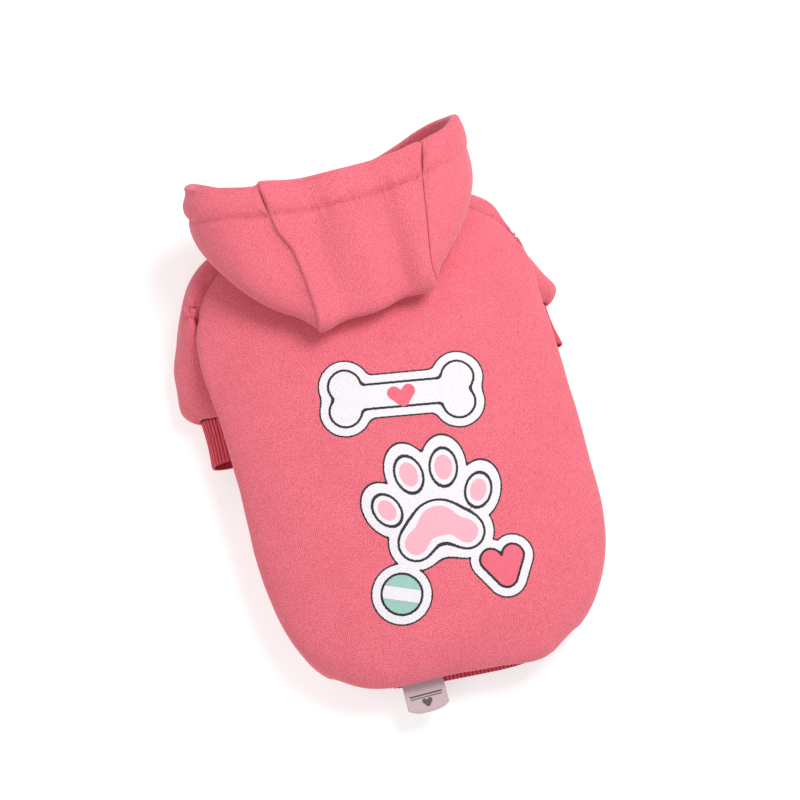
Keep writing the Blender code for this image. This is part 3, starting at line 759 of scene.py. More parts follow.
@dataclass
class Sleeve:
    """One raglan sleeve with its ribbed cuff, lying beside the body."""

    side: Side
    body: Body
    reach: float = 0.116
    height: float = 0.030
    relax_passes: int = 60
    puff: float = 0.0012
    flatness: float = 0.9
    seam_spread: float = 0.7
    cuff_length: float = 0.025
    cuff_waist: float = 0.045
    cuff_dip: float = 0.03
    cuff_ease: float = 0.06
    cuff_turn: float = 0.0004
    rib_pitch: float = 0.0022
    rib_depth: float = 0.0007
    rows: int = 110
    columns: int = 204

    # inner_x, inner_y, outer_x, outer_y, middle_z, top_z, bottom_z
    LEFT_RINGS = (
        (0.875, 0.345, 0.695, 0.040, 0.92, 1.36, 0.10),
        (0.850, 0.450, 0.860, 0.190, 0.70, 1.22, 0.00),
        (0.780, 0.580, 0.948, 0.415, 0.53, 1.06, 0.00),
        (0.735, 0.680, 0.985, 0.600, 0.46, 0.96, 0.00),
        (0.695, 0.775, 0.992, 0.725, 0.42, 0.86, 0.00),
        (0.675, 0.830, 0.926, 0.785, 0.36, 0.70, 0.015),
    )
    RIGHT_RINGS = (
        (0.785, 0.360, 0.645, 0.050, 0.84, 1.26, 0.10),
        (0.745, 0.450, 0.715, 0.200, 0.62, 1.10, 0.00),
        (0.690, 0.520, 0.795, 0.345, 0.48, 0.94, 0.00),
        (0.640, 0.555, 0.862, 0.490, 0.38, 0.78, 0.00),
        (0.595, 0.585, 0.900, 0.565, 0.32, 0.66, 0.00),
        (0.570, 0.625, 0.842, 0.620, 0.29, 0.57, 0.015),
    )
    LEFT_FOLDS = (
        # at_deg, along, wide_deg, long, lift
        (-66.0, 2.0, 26.0, 1.0, 1.2),
        (62.0, 2.6, 24.0, 0.5, -1.4),
        (92.0, 3.4, 26.0, 0.5, 1.2),
        (30.0, 3.6, 22.0, 0.5, -0.9),
    )
    RIGHT_FOLDS = (
        (-60.0, 1.3, 30.0, 0.9, 0.8),
        (40.0, 3.0, 24.0, 0.6, -0.8),
    )
    ARMHOLE = (6.0, 5.0, 6.0)  # columns of the back seam, the neckline and the belly seam

    def __post_init__(self) -> None:
        """Picks the side's table."""
        self.sign = float(self.side.value)
        self.name = self.side.name.lower()
        self.rings = self.LEFT_RINGS if self.side is Side.LEFT else self.RIGHT_RINGS
        self.folds = self.LEFT_FOLDS if self.side is Side.LEFT else self.RIGHT_FOLDS
        self.cuff_lean = 0.0 if self.side is Side.LEFT else 0.0035
        self.last = len(self.rings)
        self.turns = sum(self.ARMHOLE)

    def armhole(self, column: np.ndarray) -> np.ndarray:
        """The armhole's points: up the back raglan seam, down the neckline, back along the belly's."""
        back, neckline, _ = self.ARMHOLE
        up = self.body.underarm_row * (1 - column / back)
        down = self.body.underarm_row * (column - back - neckline) / back
        across = np.clip((column - back) / neckline, 0.0, 1.0)
        low, high = self.body.raglan_deg
        at_neck = low + (high - low) * across
        place = np.where(column <= back, up, np.where(column <= back + neckline, 0.0, down))
        place = np.clip(place, 0.0, None)
        angle = np.where(
            column <= back,
            self.body.back_edge_deg(place),
            np.where(column <= back + neckline, at_neck, self.body.belly_edge_deg(place)),
        )
        return self.body.frame(self.sign * angle, place)

    def turn_deg(self, column: np.ndarray) -> np.ndarray:
        """A column's angle round the sleeve: -90 inner, 0 top, 90 outer, 180 bottom."""
        back, neckline, _ = self.ARMHOLE
        first = -90.0 + 135.0 * np.clip(column / back, 0.0, 1.0) ** self.seam_spread
        second = 45.0 + 90.0 * (column - back) / neckline
        third = 270.0 - 135.0 * np.clip(1 - (column - back - neckline) / back, 0.0, 1.0) ** self.seam_spread
        return np.where(column <= back, first, np.where(column <= back + neckline, second, third))

    def surface(self, column: np.ndarray, place: np.ndarray) -> np.ndarray:
        """The sleeve's outer surface: row 0 is the armhole, the last one the cuff seam."""
        column = column % self.turns
        a = np.radians(self.turn_deg(column))
        stack = [self.armhole(column)]
        for inner_x, inner_y, outer_x, outer_y, middle_z, top_z, bottom_z in self.rings:
            inner = np.array((self.sign * inner_x, -inner_y)) * self.reach
            outer = np.array((self.sign * outer_x, -outer_y)) * self.reach
            across = signed_power(np.sin(a), self.flatness)[:, None]
            flat = (inner + outer) / 2 + (outer - inner) / 2 * across
            end = np.where(np.cos(a) > 0, top_z, bottom_z)
            z = self.height * (middle_z + (end - middle_z) * np.abs(np.cos(a)) ** self.flatness)
            stack.append(np.column_stack((flat, z)))
        points = spline(np.array(stack), place)
        points[:, 2] = np.maximum(points[:, 2], 0.0)
        return points

    def build(self, maker: Maker, fleece: bpy.types.Material, rib: bpy.types.Material) -> None:
        """Makes the sleeve and its cuff."""
        columns = 3 * self.columns
        points = grid_of(lambda u, v: self.surface(u * self.turns, v * self.last), self.rows, columns)
        turn = np.broadcast_to(self.turn_deg(np.linspace(0, self.turns, columns + 1)), points.shape[:2])
        points = evened(np.concatenate((points, turn[..., None]), axis=2), self.columns)
        from_inner = np.minimum(points[..., 3] + 90.0, 270.0 - points[..., 3])
        cloth = Cloth(relaxed(points[..., :3], self.relax_passes, True), closed=True, outward=-self.sign)
        across, along = cloth.lengths()
        to_armhole, to_cuff = along, along[-1:] - along
        free = smooth_step(10.0, 55.0, from_inner)
        place = np.linspace(0, self.last, self.rows + 1)[:, None] + np.zeros_like(across)
        lift = bumps(self.folds, points[..., 3], place)
        sag = slack(cloth.points, seed=5.0 + self.sign, size=0.022, height=0.0013)
        lift += sag * smooth_step(0.0, 0.015, to_armhole)
        lift += self.puff * smooth_step(0.0, SEAM_EASE, to_armhole) * smooth_step(0.0, 0.012, to_cuff)
        lift += puckers(to_armhole, across, seed=2.0, pitch=0.007, height=0.00025)
        lift *= free
        lift += puckers(to_cuff, across, seed=4.0, pitch=0.0065, height=0.00055)
        lift += seam_swell(to_cuff, height=0.0012)
        lift = lift * from_seam(to_armhole, 0.0030) + seam_swell(to_armhole, height=0.0008) * free
        moved = cloth.lifted(lift).grounded()
        # Painted shade in the valleys of the armhole and cuff seams.
        groove_shade = seam_shade(np.minimum(to_armhole, to_cuff))
        piece = maker.cloth(f"{self.name}_sleeve_fleece", moved, fleece, FLEECE, groove_shade)
        maker.fit(piece, f"{self.name}_sleeve", cloth)
        self.build_cuff(maker, rib)

    def build_cuff(self, maker: Maker, rib: bpy.types.Material) -> None:
        """Makes the cuff, ribbed along its length and gathered to the sleeve."""
        place = np.full(RING_SAMPLES, float(self.last))
        seam, wave = ribbed(self.surface(np.linspace(0, self.turns, RING_SAMPLES), place), self.rib_pitch)
        last = self.rings[-1]
        end_y = -self.reach * (last[1] + last[3]) / 2 - self.cuff_length
        v = np.linspace(0, 1, RIB_ROWS + 1)[:, None]
        start = seam[:, 1][None, :] - SEAM_GAP / 2
        middle = seam.mean(axis=0)
        waist = 1 - self.cuff_waist * np.sin(math.pi * v)
        x = middle[0] + (seam[:, 0][None, :] - middle[0]) * waist + self.cuff_lean * v
        y = start + v * (end_y - start)
        z = seam[:, 2][None, :] * (1 - self.cuff_dip * np.sin(math.pi * v))
        cloth = Cloth(np.stack((x, y, z), axis=2), closed=True, outward=-self.sign)
        ends = np.minimum(1.0, np.minimum(v, 1 - v) / self.cuff_ease)
        moved = cloth.lifted(-self.rib_depth * wave**1.5 - self.cuff_turn * (1 - ends) ** 2).grounded()
        # Painted shade between the ribs.
        groove_shade = RIB_SHADE * wave**2 + 0 * v
        piece = maker.cloth(f"{self.name}_cuff_rib", moved, rib, RIB_KNIT, groove_shade)
        maker.fit(piece, f"{self.name}_cuff", moved)


@dataclass
class HemBand:
    """The ribbed band at the tail, mostly inside the body's rear fold."""

    body: Body
    play: float = 0.0010
    draw_in: float = 0.12
    length: float = 0.0215
    rib_pitch: float = 0.0024
    rib_depth: float = 0.0007

    def seam(self, angle_deg: np.ndarray) -> np.ndarray:
        """The hem seam, drawn in by the band's play."""
        at = np.full_like(angle_deg, float(self.body.last))
        around = self.body.frame(angle_deg + 1.0, at) - self.body.frame(angle_deg - 1.0, at)
        inward = np.column_stack((around[:, 2], np.zeros(len(around)), -around[:, 0]))
        return self.body.frame(angle_deg, at) + self.play * inward / np.linalg.norm(inward, axis=1)[:, None]

    def build(self, maker: Maker, rib: bpy.types.Material) -> None:
        """Makes the band."""
        seam, wave = ribbed(self.seam(np.linspace(-180.0, 180.0, RING_SAMPLES)), self.rib_pitch)
        v = np.linspace(0, 1, RIB_ROWS + 1)[:, None]
        x = seam[:, 0][None, :] * (1 - self.draw_in * v)
        y = seam[:, 1][None, :] - SEAM_GAP - v * self.length
        z = seam[:, 2][None, :] + 0 * v
        cloth = Cloth(np.stack((x, y, z), axis=2), closed=True, outward=-1.0)
        moved = cloth.lifted(-self.rib_depth * wave**1.5 + 0 * v)
        # The last argument paints shade between the ribs.
        piece = maker.cloth("hem_rib", moved, rib, RIB_KNIT, RIB_SHADE * wave**2 + 0 * v)
        maker.fit(piece, "hem_band", moved)


@dataclass
class Hood:
    """The hood, folded down on the back: three panels, each with its share of the turned hem."""

    body: Body
    width: float = 0.158
    drop: float = 0.070
    rise: float = 0.031
    lead: float = 0.024
    shift: float = -0.0069
    skew: float = 0.018
    roundness: float = 0.92
    tunnel_width: float = 0.0165
    tunnel_fold: float = 0.0027
    tunnel_deepest: float = 1.9
    stitches_from: float = 0.36
    stitch_sink: float = 0.0013
    stitch_reach: float = 0.0016
    # how dark the painted shade along the hem's sunk stitch line is
    stitch_shade: float = 0.22
    stitch_line: float = 0.0008
    jog_deg: float = 3.0
    rows: int = 200
    hem_rows: int = 50

    # spread, shift, back, back_z, side, side_z, throat, throat_z, left, right
    RINGS = (
        (0.06, 0.10, -0.034, -0.040, 0.26, 0.380, 0.47, 0.006, -30.0, 30.0),
        (0.28, 0.30, 0.140, 0.045, 0.30, 0.475, 0.59, 0.008, -26.0, 29.0),
        (0.70, 0.60, 0.600, 0.055, 0.25, 0.545, 0.70, 0.018, -20.0, 27.0),
        (0.97, 0.85, 0.890, 0.110, 0.17, 0.585, 0.78, 0.035, -18.5, 27.5),
        (1.03, 1.00, 1.000, 0.330, 0.18, 0.640, 0.84, 0.060, -18.5, 28.0),
        (1.02, 1.00, 0.940, 0.580, 0.34, 0.700, 0.91, 0.085, -19.5, 29.0),
        (0.99, 1.00, 0.600, 0.790, 0.54, 0.755, 0.99, 0.120, -22.0, 33.0),
        (0.95, 1.00, 0.205, 0.940, 0.76, 0.800, 1.09, 0.160, -26.0, 37.0),
        (0.97, 1.00, -0.080, 1.000, 0.98, 0.835, 1.20, 0.200, -28.0, 40.5),
    )
    NECK_SEAMS_DEG = (-31.0, 31.0)
    RIM_PULLS = (
        # at_deg, wide_deg, pull
        (132.0, 26.0, 0.22),
        (-118.0, 26.0, 0.10),
        (48.0, 30.0, -0.14),
        (-78.0, 26.0, -0.12),
    )
    FOLDS = (
        # at_deg, along, wide_deg, long, lift
        (-9.0, 7.6, 5.5, 1.4, -2.6),
        (16.0, 7.2, 6.0, 1.8, -3.2),
        (3.0, 7.0, 6.0, 1.6, 1.6),
        (-75.0, 8.6, 22.0, 0.7, -1.6),
        (-48.0, 6.8, 14.0, 1.4, 1.6),
        (-15.5, 5.3, 6.5, 1.2, 5.4),
        (24.5, 5.3, 6.5, 1.3, 4.7),
    )
    STEP_DEG = 1.0  # each way, to find the outward direction
    STEP_ROW = 0.05
    EDGE_ROW = 0.06
    RIM_ROW = 0.1  # back from the rim, to find the way up
    COLUMNS = {HoodPanel.CENTRE: 110, HoodPanel.LEFT: 230, HoodPanel.RIGHT: 230}

    def __post_init__(self) -> None:
        """Works out the rim's row."""
        self.rim = len(self.RINGS)
        self.hem_swell = {HoodPanel.CENTRE: 0.0017, HoodPanel.LEFT: 0.0027, HoodPanel.RIGHT: 0.0020}
        self.seams = np.array([self.NECK_SEAMS_DEG] + [row[-2:] for row in self.RINGS])

    def ring_points(self, angle_deg: np.ndarray) -> np.ndarray:
        """All the rings at each angle, the neck seam first."""
        stack = [self.body.frame(angle_deg, np.zeros_like(angle_deg)) + np.array((0.0, SEAM_GAP, 0.0))]
        height = self.body.height + self.rise
        neck_half = self.body.neck[0] / 2
        a = np.radians(angle_deg)
        c = np.cos(a)
        reach = sum(share * np.exp(-(((angle_deg - at) / wide) ** 2)) for at, wide, share in self.RIM_PULLS)
        for number, row in enumerate(self.RINGS, start=1):
            spread, shift, back, back_z, side, side_z, throat, throat_z = row[:8]
            half = neck_half + (self.width / 2 - neck_half) * spread
            back_y, back_z = -back * self.drop, self.body.height + back_z * self.rise
            side_y, side_z = side * self.lead, side_z * height
            throat_y, throat_z = throat * self.lead, throat_z * height
            x = half * signed_power(np.sin(a), self.roundness)
            y = side_y + (back_y - throat_y) / 2 * c + ((back_y + throat_y) / 2 - side_y) * c * c
            y = y + self.lead * reach * (number / self.rim) ** 3 + self.skew * x * shift
            z = side_z + (back_z - throat_z) / 2 * c + ((back_z + throat_z) / 2 - side_z) * c * c
            middle = self.body.neck_shift + (self.shift - self.body.neck_shift) * shift
            stack.append(np.column_stack((middle + x, y, z)))
        return np.array(stack)

    def frame(self, angle_deg: np.ndarray, place: np.ndarray) -> np.ndarray:
        """The hood's outer surface before its folds."""
        return spline(self.ring_points(angle_deg), place)

    def folded(self, angle_deg: np.ndarray, place: np.ndarray, depth: np.ndarray) -> np.ndarray:
        """The hood's surface with its folds, at a depth under the cloth's face."""
        inside = np.clip(place, self.EDGE_ROW, self.rim - self.EDGE_ROW)
        across = self.frame(angle_deg + self.STEP_DEG, inside) - self.frame(angle_deg - self.STEP_DEG, inside)
        along = self.frame(angle_deg, inside + self.STEP_ROW) - self.frame(angle_deg, inside - self.STEP_ROW)
        normal = np.cross(across, along)
        normal /= np.linalg.norm(normal, axis=1)[:, None]
        lift = bumps(self.FOLDS, angle_deg, place) * smooth_step(0.0, 1.0, place)
        return self.frame(angle_deg, np.clip(place, 0.0, self.rim)) + normal * (lift - depth)[:, None]

    def surface(self, angle_deg: np.ndarray, place: np.ndarray) -> np.ndarray:
        """The outer face. Past the rim the cloth turns over and runs back inside."""
        rim = np.full_like(place, float(self.rim))
        nothing = np.zeros_like(place)
        past = place - self.rim
        outside = self.folded(angle_deg, np.minimum(place, rim), nothing)
        edge = self.folded(angle_deg, rim, nothing)
        near = self.folded(angle_deg, rim - 1.0, nothing)
        deep = (self.tunnel_width - self.tunnel_fold) / np.linalg.norm(edge - near, axis=1)
        deep = np.minimum(deep, self.tunnel_deepest)
        turn = math.pi * np.clip(past, 0.0, 1.0)
        up = edge - self.folded(angle_deg, rim - self.RIM_ROW, nothing)
        up /= np.linalg.norm(up, axis=1)[:, None]
        over = self.folded(angle_deg, rim, self.tunnel_fold * (1 - np.cos(turn)))
        over = over + up * (self.tunnel_fold * np.sin(turn))[:, None]
        back = rim - deep * np.maximum(past - 1.0, 0.0)
        under = self.folded(angle_deg, back, 2 * self.tunnel_fold + nothing)
        return np.where((past <= 0)[:, None], outside, np.where((past <= 1)[:, None], over, under))

    def seam_deg(self, which: int, place: np.ndarray) -> np.ndarray:
        """The left (0) or right (1) seam of the centre panel, in degrees from the back."""
        angle = spline(self.seams, np.clip(place, 0, self.rim))[:, which]
        if which == 0:
            angle = angle + self.jog_deg * smooth_step(2.5, 6.0, place) * smooth_step(7.75, 7.25, place)
        return angle

    def span(self, panel: HoodPanel, place: np.ndarray) -> tuple[np.ndarray, np.ndarray]:
        """A panel's first and last angle at each row."""
        if panel is HoodPanel.CENTRE:
            return self.seam_deg(0, place), self.seam_deg(1, place)
        if panel is HoodPanel.LEFT:
            return np.full_like(place, -180.0), self.seam_deg(0, place)
        return self.seam_deg(1, place), np.full_like(place, 180.0)

    def build(self, maker: Maker, fleece: bpy.types.Material, thread: bpy.types.Material) -> None:
        """Makes the panels and the stitches of their hem."""
        total = self.rows + self.hem_rows
        rim_share = self.rows / total
        stitches = []
        for panel in HoodPanel:
            columns = self.COLUMNS[panel]

            def surface(u: np.ndarray, v: np.ndarray, panel: HoodPanel = panel) -> np.ndarray:
                outer = self.rim * v / rim_share
                inner = self.rim + 2.0 * (v - rim_share) / (1 - rim_share)
                place = np.where(v <= rim_share, outer, inner)
                start, end = self.span(panel, place)
                return self.surface(start + (end - start) * u, place)

            cloth = Cloth(grid_of(surface, total, columns), outward=1.0)
            across, along = cloth.lengths()
            rim = along[self.rows : self.rows + 1]
            edge = np.minimum(across, across[:, -1:] - across)
            to_hem = np.abs(along - (rim - self.tunnel_width))
            outer = np.arange(total + 1)[:, None] <= self.rows
            fade = smooth_step(0.0, SEAM_EASE, edge) * smooth_step(0.0, SEAM_EASE, along) * outer
            lift = slack(cloth.points, seed=11.0, size=0.030, height=0.0010) * fade
            lift += slack(cloth.points, seed=13.0, size=0.010, height=0.00018)
            lift += puckers(edge, along, seed=5.0, pitch=0.009, height=0.0003)
            sewn = self.hem_pull(panel, across) * outer
            lift += sewn * puckers(to_hem, across, seed=6.0, pitch=0.0046, height=0.0005)
            lift -= self.stitch_sink * sewn * np.exp(-((to_hem / self.stitch_reach) ** 2))
            over = np.clip(1 - (rim - along) / self.tunnel_width, 0.0, 1.0)
            lift += self.hem_swell[panel] * np.sin(math.pi * over) * outer
            moved = cloth.lifted(lift * from_seam(edge) + self.seam_swells(panel, across)).grounded()
            # Painted shade along the hem's sunk stitch line and in the panels' seams.
            line_shade = self.stitch_shade * sewn * np.exp(-((to_hem / self.stitch_line) ** 2))
            groove_shade = np.maximum(seam_shade(edge), line_shade)
            piece = maker.cloth(f"hood_{panel.value}_fleece", moved, fleece, FLEECE, groove_shade)
            maker.fit(piece, f"hood_{panel.value}_panel", cloth)
            if panel is HoodPanel.CENTRE:
                stitches.append(self.hem_line(moved, along, rim[0]))
        stitching = Stitching(length=0.0023, gap=0.0009, thickness=0.00052)
        piece = stitching.along("hood_hem_thread", stitches, thread)
        maker.finish(piece, [], "hood_centre_panel")

    def seam_swells(self, panel: HoodPanel, across: np.ndarray) -> np.ndarray:
        """The centre panel stands up at its seams; the left one sinks in beside it."""
        first, last = across, across[:, -1:] - across
        if panel is HoodPanel.CENTRE:
            return seam_swell(first, height=0.0016, width=0.0026) + seam_swell(last, height=0.0013)
        if panel is HoodPanel.LEFT:
            return seam_swell(last, height=-0.0012, width=0.0060, reach=0.016) + seam_swell(first)
        return seam_swell(first, height=0.0009, width=0.0050) + seam_swell(last)

    def hem_pull(self, panel: HoodPanel, across: np.ndarray) -> np.ndarray:
        """How hard the hem's stitches draw the cloth in: least on the right panel, where they lie loose."""
        if panel is HoodPanel.CENTRE:
            return np.full_like(across, 0.85)
        if panel is HoodPanel.LEFT:
            return 0.45 + 0.4 * smooth_step(0.03, 0.0, across[:, -1:] - across)
        return 0.12 + 0.7 * smooth_step(0.012, 0.0, across)

    def hem_line(self, cloth: Cloth, along: np.ndarray, rim: np.ndarray) -> np.ndarray:
        """The hem's stitch line on one panel: points and outward directions, (N, 6)."""
        normals = cloth.normals()
        line = []
        last = cloth.points.shape[1] - 3
        for column in range(round(self.stitches_from * last), last):
            row = int(np.searchsorted(along[: self.rows, column], rim[column] - self.tunnel_width))
            line.append(np.concatenate((cloth.points[row, column], normals[row, column])))
        return np.array(line)


@dataclass
class Stitching:
    """Short stitches laid along lines on the cloth."""

    length: float
    gap: float
    thickness: float
    rise: float = 0.15
    ahead: float = 0.0008

    def along(self, name: str, lines: Sequence[np.ndarray], material: bpy.types.Material) -> bpy.types.Object:
        """Lays the stitches.

        Args:
            name: the piece's name.
            lines: for each line, its points and outward directions, (N, 6).
            material: the thread's finish.

        Returns:
            The new object.
        """
        bm = bmesh.new()
        for line in lines:
            steps = np.linalg.norm(np.diff(line[:, :3], axis=0), axis=1)
            lengths = np.concatenate(([0.0], steps.cumsum()))
            count = int(lengths[-1] // (self.length + self.gap))
            for k in range(count):
                middle = (k + 0.5) * lengths[-1] / count
                at, ahead = (
                    np.array([np.interp(place, lengths, line[:, axis]) for axis in range(6)])
                    for place in (middle, middle + self.ahead)
                )
                forward = Vector(ahead[:3] - at[:3]).normalized()
                up = Vector(at[3:]).normalized()
                sideways = up.cross(forward).normalized()
                turn = Matrix((forward, sideways, forward.cross(sideways))).transposed().to_4x4()
                centre = Vector(at[:3]) + Vector(NECK_SEAM) + up * self.rise * self.thickness
                size = Matrix.Diagonal((self.length / 2, self.thickness / 2, self.thickness / 2, 1.0))
                matrix = Matrix.Translation(centre) @ turn @ size
                bmesh.ops.create_uvsphere(bm, u_segments=6, v_segments=4, radius=1.0, matrix=matrix)
        bmesh.ops.recalc_face_normals(bm, faces=bm.faces[:])
        return smooth_object(bm, name, material)


Field = Callable[[np.ndarray, np.ndarray], np.ndarray]


def disc(x: float, y: float, across: float, high: Optional[float] = None, turn_deg: float = 0.0) -> Field:
    """An oval as a distance field, below zero inside; sizes are half widths."""
    high = across if high is None else high
    c, s = math.cos(math.radians(turn_deg)), math.sin(math.radians(turn_deg))

    def field(px: np.ndarray, py: np.ndarray) -> np.ndarray:
        dx, dy = px - x, py - y
        ex, ey = (dx * c + dy * s) / across, (dy * c - dx * s) / high
        return (np.hypot(ex, ey) - 1) * min(across, high)

    return field


def bar(x0: float, y0: float, x1: float, y1: float, radius: float) -> Field:
    """A bar with round ends as a distance field."""

    def field(px: np.ndarray, py: np.ndarray) -> np.ndarray:
        dx, dy = x1 - x0, y1 - y0
        share = np.clip(((px - x0) * dx + (py - y0) * dy) / (dx * dx + dy * dy), 0.0, 1.0)
        return np.hypot(px - x0 - share * dx, py - y0 - share * dy) - radius

    return field


def joined(*fields: Field, blend: float = 0.0) -> Field:
    """Fields as one shape, with their inner corners filled over a length of blend."""

    def field(px: np.ndarray, py: np.ndarray) -> np.ndarray:
        total = fields[0](px, py)
        for other in fields[1:]:
            value = other(px, py)
            if blend > 0:
                share = np.clip(0.5 + 0.5 * (value - total) / blend, 0.0, 1.0)
                total = value + (total - value) * share - blend * share * (1 - share)
            else:
                total = np.minimum(total, value)
        return total

    return field


def grown(shape: Field, by: float) -> Field:
    """A shape made larger all round, or smaller where by is below zero."""
    return lambda px, py: shape(px, py) - by


def cut(shape: Field, window: Field) -> Field:
    """What of a shape lies inside a window."""
    return lambda px, py: np.maximum(shape(px, py), window(px, py))


@dataclass
class Print:
    """A cheerful screen print on the back: a bone, a paw, a ball and a heart."""

    back: BVHTree
    low: tuple[float, float] = (-0.050, -0.118)
    high: tuple[float, float] = (0.072, 0.036)
    cell: float = 0.0006
    layer: float = 0.00007
    clearance: float = 0.00005
    line: float = 0.0013
    border: float = 0.0024
    above: float = 0.2

    # shares of a cell
    SLOPE_STEP = 0.25
    SNAP = 0.75
    EDGE = 0.02
    LEAST_SLOPE = 0.05

    def reach_of(self, shape: Field) -> tuple[float, float, float, float]:
        """The window round a shape, a cell wider on each side."""
        xs, ys = (np.arange(low, high, self.cell) for low, high in zip(self.low, self.high))
        columns, rows = np.meshgrid(xs, ys)
        inside = shape(columns, rows) < self.cell
        return (
            float(columns[inside].min()) - self.cell,
            float(rows[inside].min()) - self.cell,
            float(columns[inside].max()) + self.cell,
            float(rows[inside].max()) + self.cell,
        )

    def film(self, name: str, shape: Field, level: int, material: bpy.types.Material) -> bpy.types.Object:
        """One layer of ink over the back panel.

        Args:
            name: the piece's name.
            shape: what it covers, seen from above.
            level: its place in the stack, from 1.
            material: the ink.

        Returns:
            The new object.
        """
        x0, y0, x1, y1 = self.reach_of(shape)
        columns, rows = round((x1 - x0) / self.cell), round((y1 - y0) / self.cell)
        bm = bmesh.new()
        bmesh.ops.create_grid(bm, x_segments=columns, y_segments=rows, size=0.5)
        flat = np.array([vertex.co[:2] for vertex in bm.verts])
        xs = x0 + (flat[:, 0] + 0.5) * (x1 - x0)
        ys = y0 + (flat[:, 1] + 0.5) * (y1 - y0)
        step = self.SLOPE_STEP * self.cell
        for _ in range(2):
            depth = shape(xs, ys)
            slope_x = (shape(xs + step, ys) - shape(xs - step, ys)) / (2 * step)
            slope_y = (shape(xs, ys + step) - shape(xs, ys - step)) / (2 * step)
            size = np.maximum(slope_x**2 + slope_y**2, self.LEAST_SLOPE)
            near = (depth > 0) & (depth < self.SNAP * self.cell * np.sqrt(size))
            xs = np.where(near, xs - depth * slope_x / size, xs)
            ys = np.where(near, ys - depth * slope_y / size, ys)
        outside = shape(xs, ys) > self.EDGE * self.cell
        height = level * self.layer + self.clearance
        down = Vector((0.0, 0.0, -1.0))
        for vertex, x, y, out in zip(list(bm.verts), xs, ys, outside):
            if out:
                vertex.tag = True
                continue
            spot, normal, _, _ = self.back.ray_cast(Vector((x, y, self.above)), down)
            vertex.co = spot + (normal if normal.z > 0 else -normal) * height
        bmesh.ops.delete(bm, geom=[vertex for vertex in bm.verts if vertex.tag], context="VERTS")
        bmesh.ops.recalc_face_normals(bm, faces=bm.faces[:])
        if bm.faces and sum(face.normal.z for face in bm.faces) < 0:
            bmesh.ops.reverse_faces(bm, faces=bm.faces[:])
        return smooth_object(bm, name, material)

    def build(self, maker: Maker) -> None:
        """Makes the layers, from the white border up to the colours."""
        mm = 0.001
        bone = joined(
            bar(-18 * mm, 12 * mm, 34 * mm, 4 * mm, 7.5 * mm),
            disc(-21 * mm, 19.5 * mm, 9.5 * mm),
            disc(-23.5 * mm, 6 * mm, 9.5 * mm),
            disc(39.5 * mm, 10 * mm, 9.5 * mm),
            disc(37 * mm, -3.5 * mm, 9.5 * mm),
            blend=3 * mm,
        )
        pad = joined(
            disc(9 * mm, -64 * mm, 15 * mm, 12 * mm),
            disc(-5 * mm, -73 * mm, 10 * mm),
            disc(23 * mm, -73 * mm, 10 * mm),
            blend=9 * mm,
        )
        toes = (
            disc(-15.5 * mm, -52 * mm, 7.6 * mm, 10.5 * mm, 24.0),
            disc(0.5 * mm, -36 * mm, 8.0 * mm, 11.5 * mm, 8.0),
            disc(19.5 * mm, -36.5 * mm, 8.0 * mm, 11.5 * mm, -10.0),
            disc(34.5 * mm, -53 * mm, 7.6 * mm, 10.5 * mm, -26.0),
        )
        ball = disc(-19 * mm, -97 * mm, 11.5 * mm)
        heart = joined(
            bar(31.5 * mm, -91 * mm, 37.5 * mm, -101 * mm, 6.6 * mm),
            bar(43.5 * mm, -91 * mm, 37.5 * mm, -101 * mm, 6.6 * mm),
        )
        small_heart = joined(
            bar(4.0 * mm, 9.5 * mm, 8.0 * mm, 4.5 * mm, 3.6 * mm),
            bar(12.0 * mm, 9.0 * mm, 8.0 * mm, 4.5 * mm, 3.6 * mm),
        )
        shapes = (bone, pad, *toes, ball, heart)
        every = joined(*shapes)
        black = InkFinish("black_ink", (0.018, 0.016, 0.020, 1.0)).material()
        white = InkFinish("white_ink", (0.800, 0.760, 0.800, 1.0)).material()
        coral = InkFinish("coral_ink", (0.780, 0.130, 0.190, 1.0)).material()
        blush = InkFinish("blush_ink", (0.900, 0.410, 0.490, 1.0)).material()
        mint = InkFinish("mint_ink", (0.310, 0.540, 0.470, 1.0)).material()
        stripe = cut(grown(ball, -self.line), bar(-31 * mm, -92 * mm, -7 * mm, -102 * mm, 3.4 * mm))
        layers = (
            ("print_outer_line", grown(every, self.border + 2 * self.line), black),
            ("print_border", grown(every, self.border + 1.35 * self.line), white),
            ("print_line", every, black),
            ("print_white", grown(every, -self.line), white),
            ("print_toes", joined(*(grown(toe, -3.2 * mm) for toe in toes)), blush),
            ("print_pad", grown(pad, -4.0 * mm), blush),
            ("print_heart", grown(heart, -self.line), coral),
            ("print_bone_heart", small_heart, coral),
            ("print_ball", grown(ball, -self.line), mint),
            ("print_stripe", stripe, white),
        )
        for level, (name, shape, ink) in enumerate(layers, start=1):
            piece = self.film(name, shape, level, ink)
            maker.finish(piece, [], "back_panel")


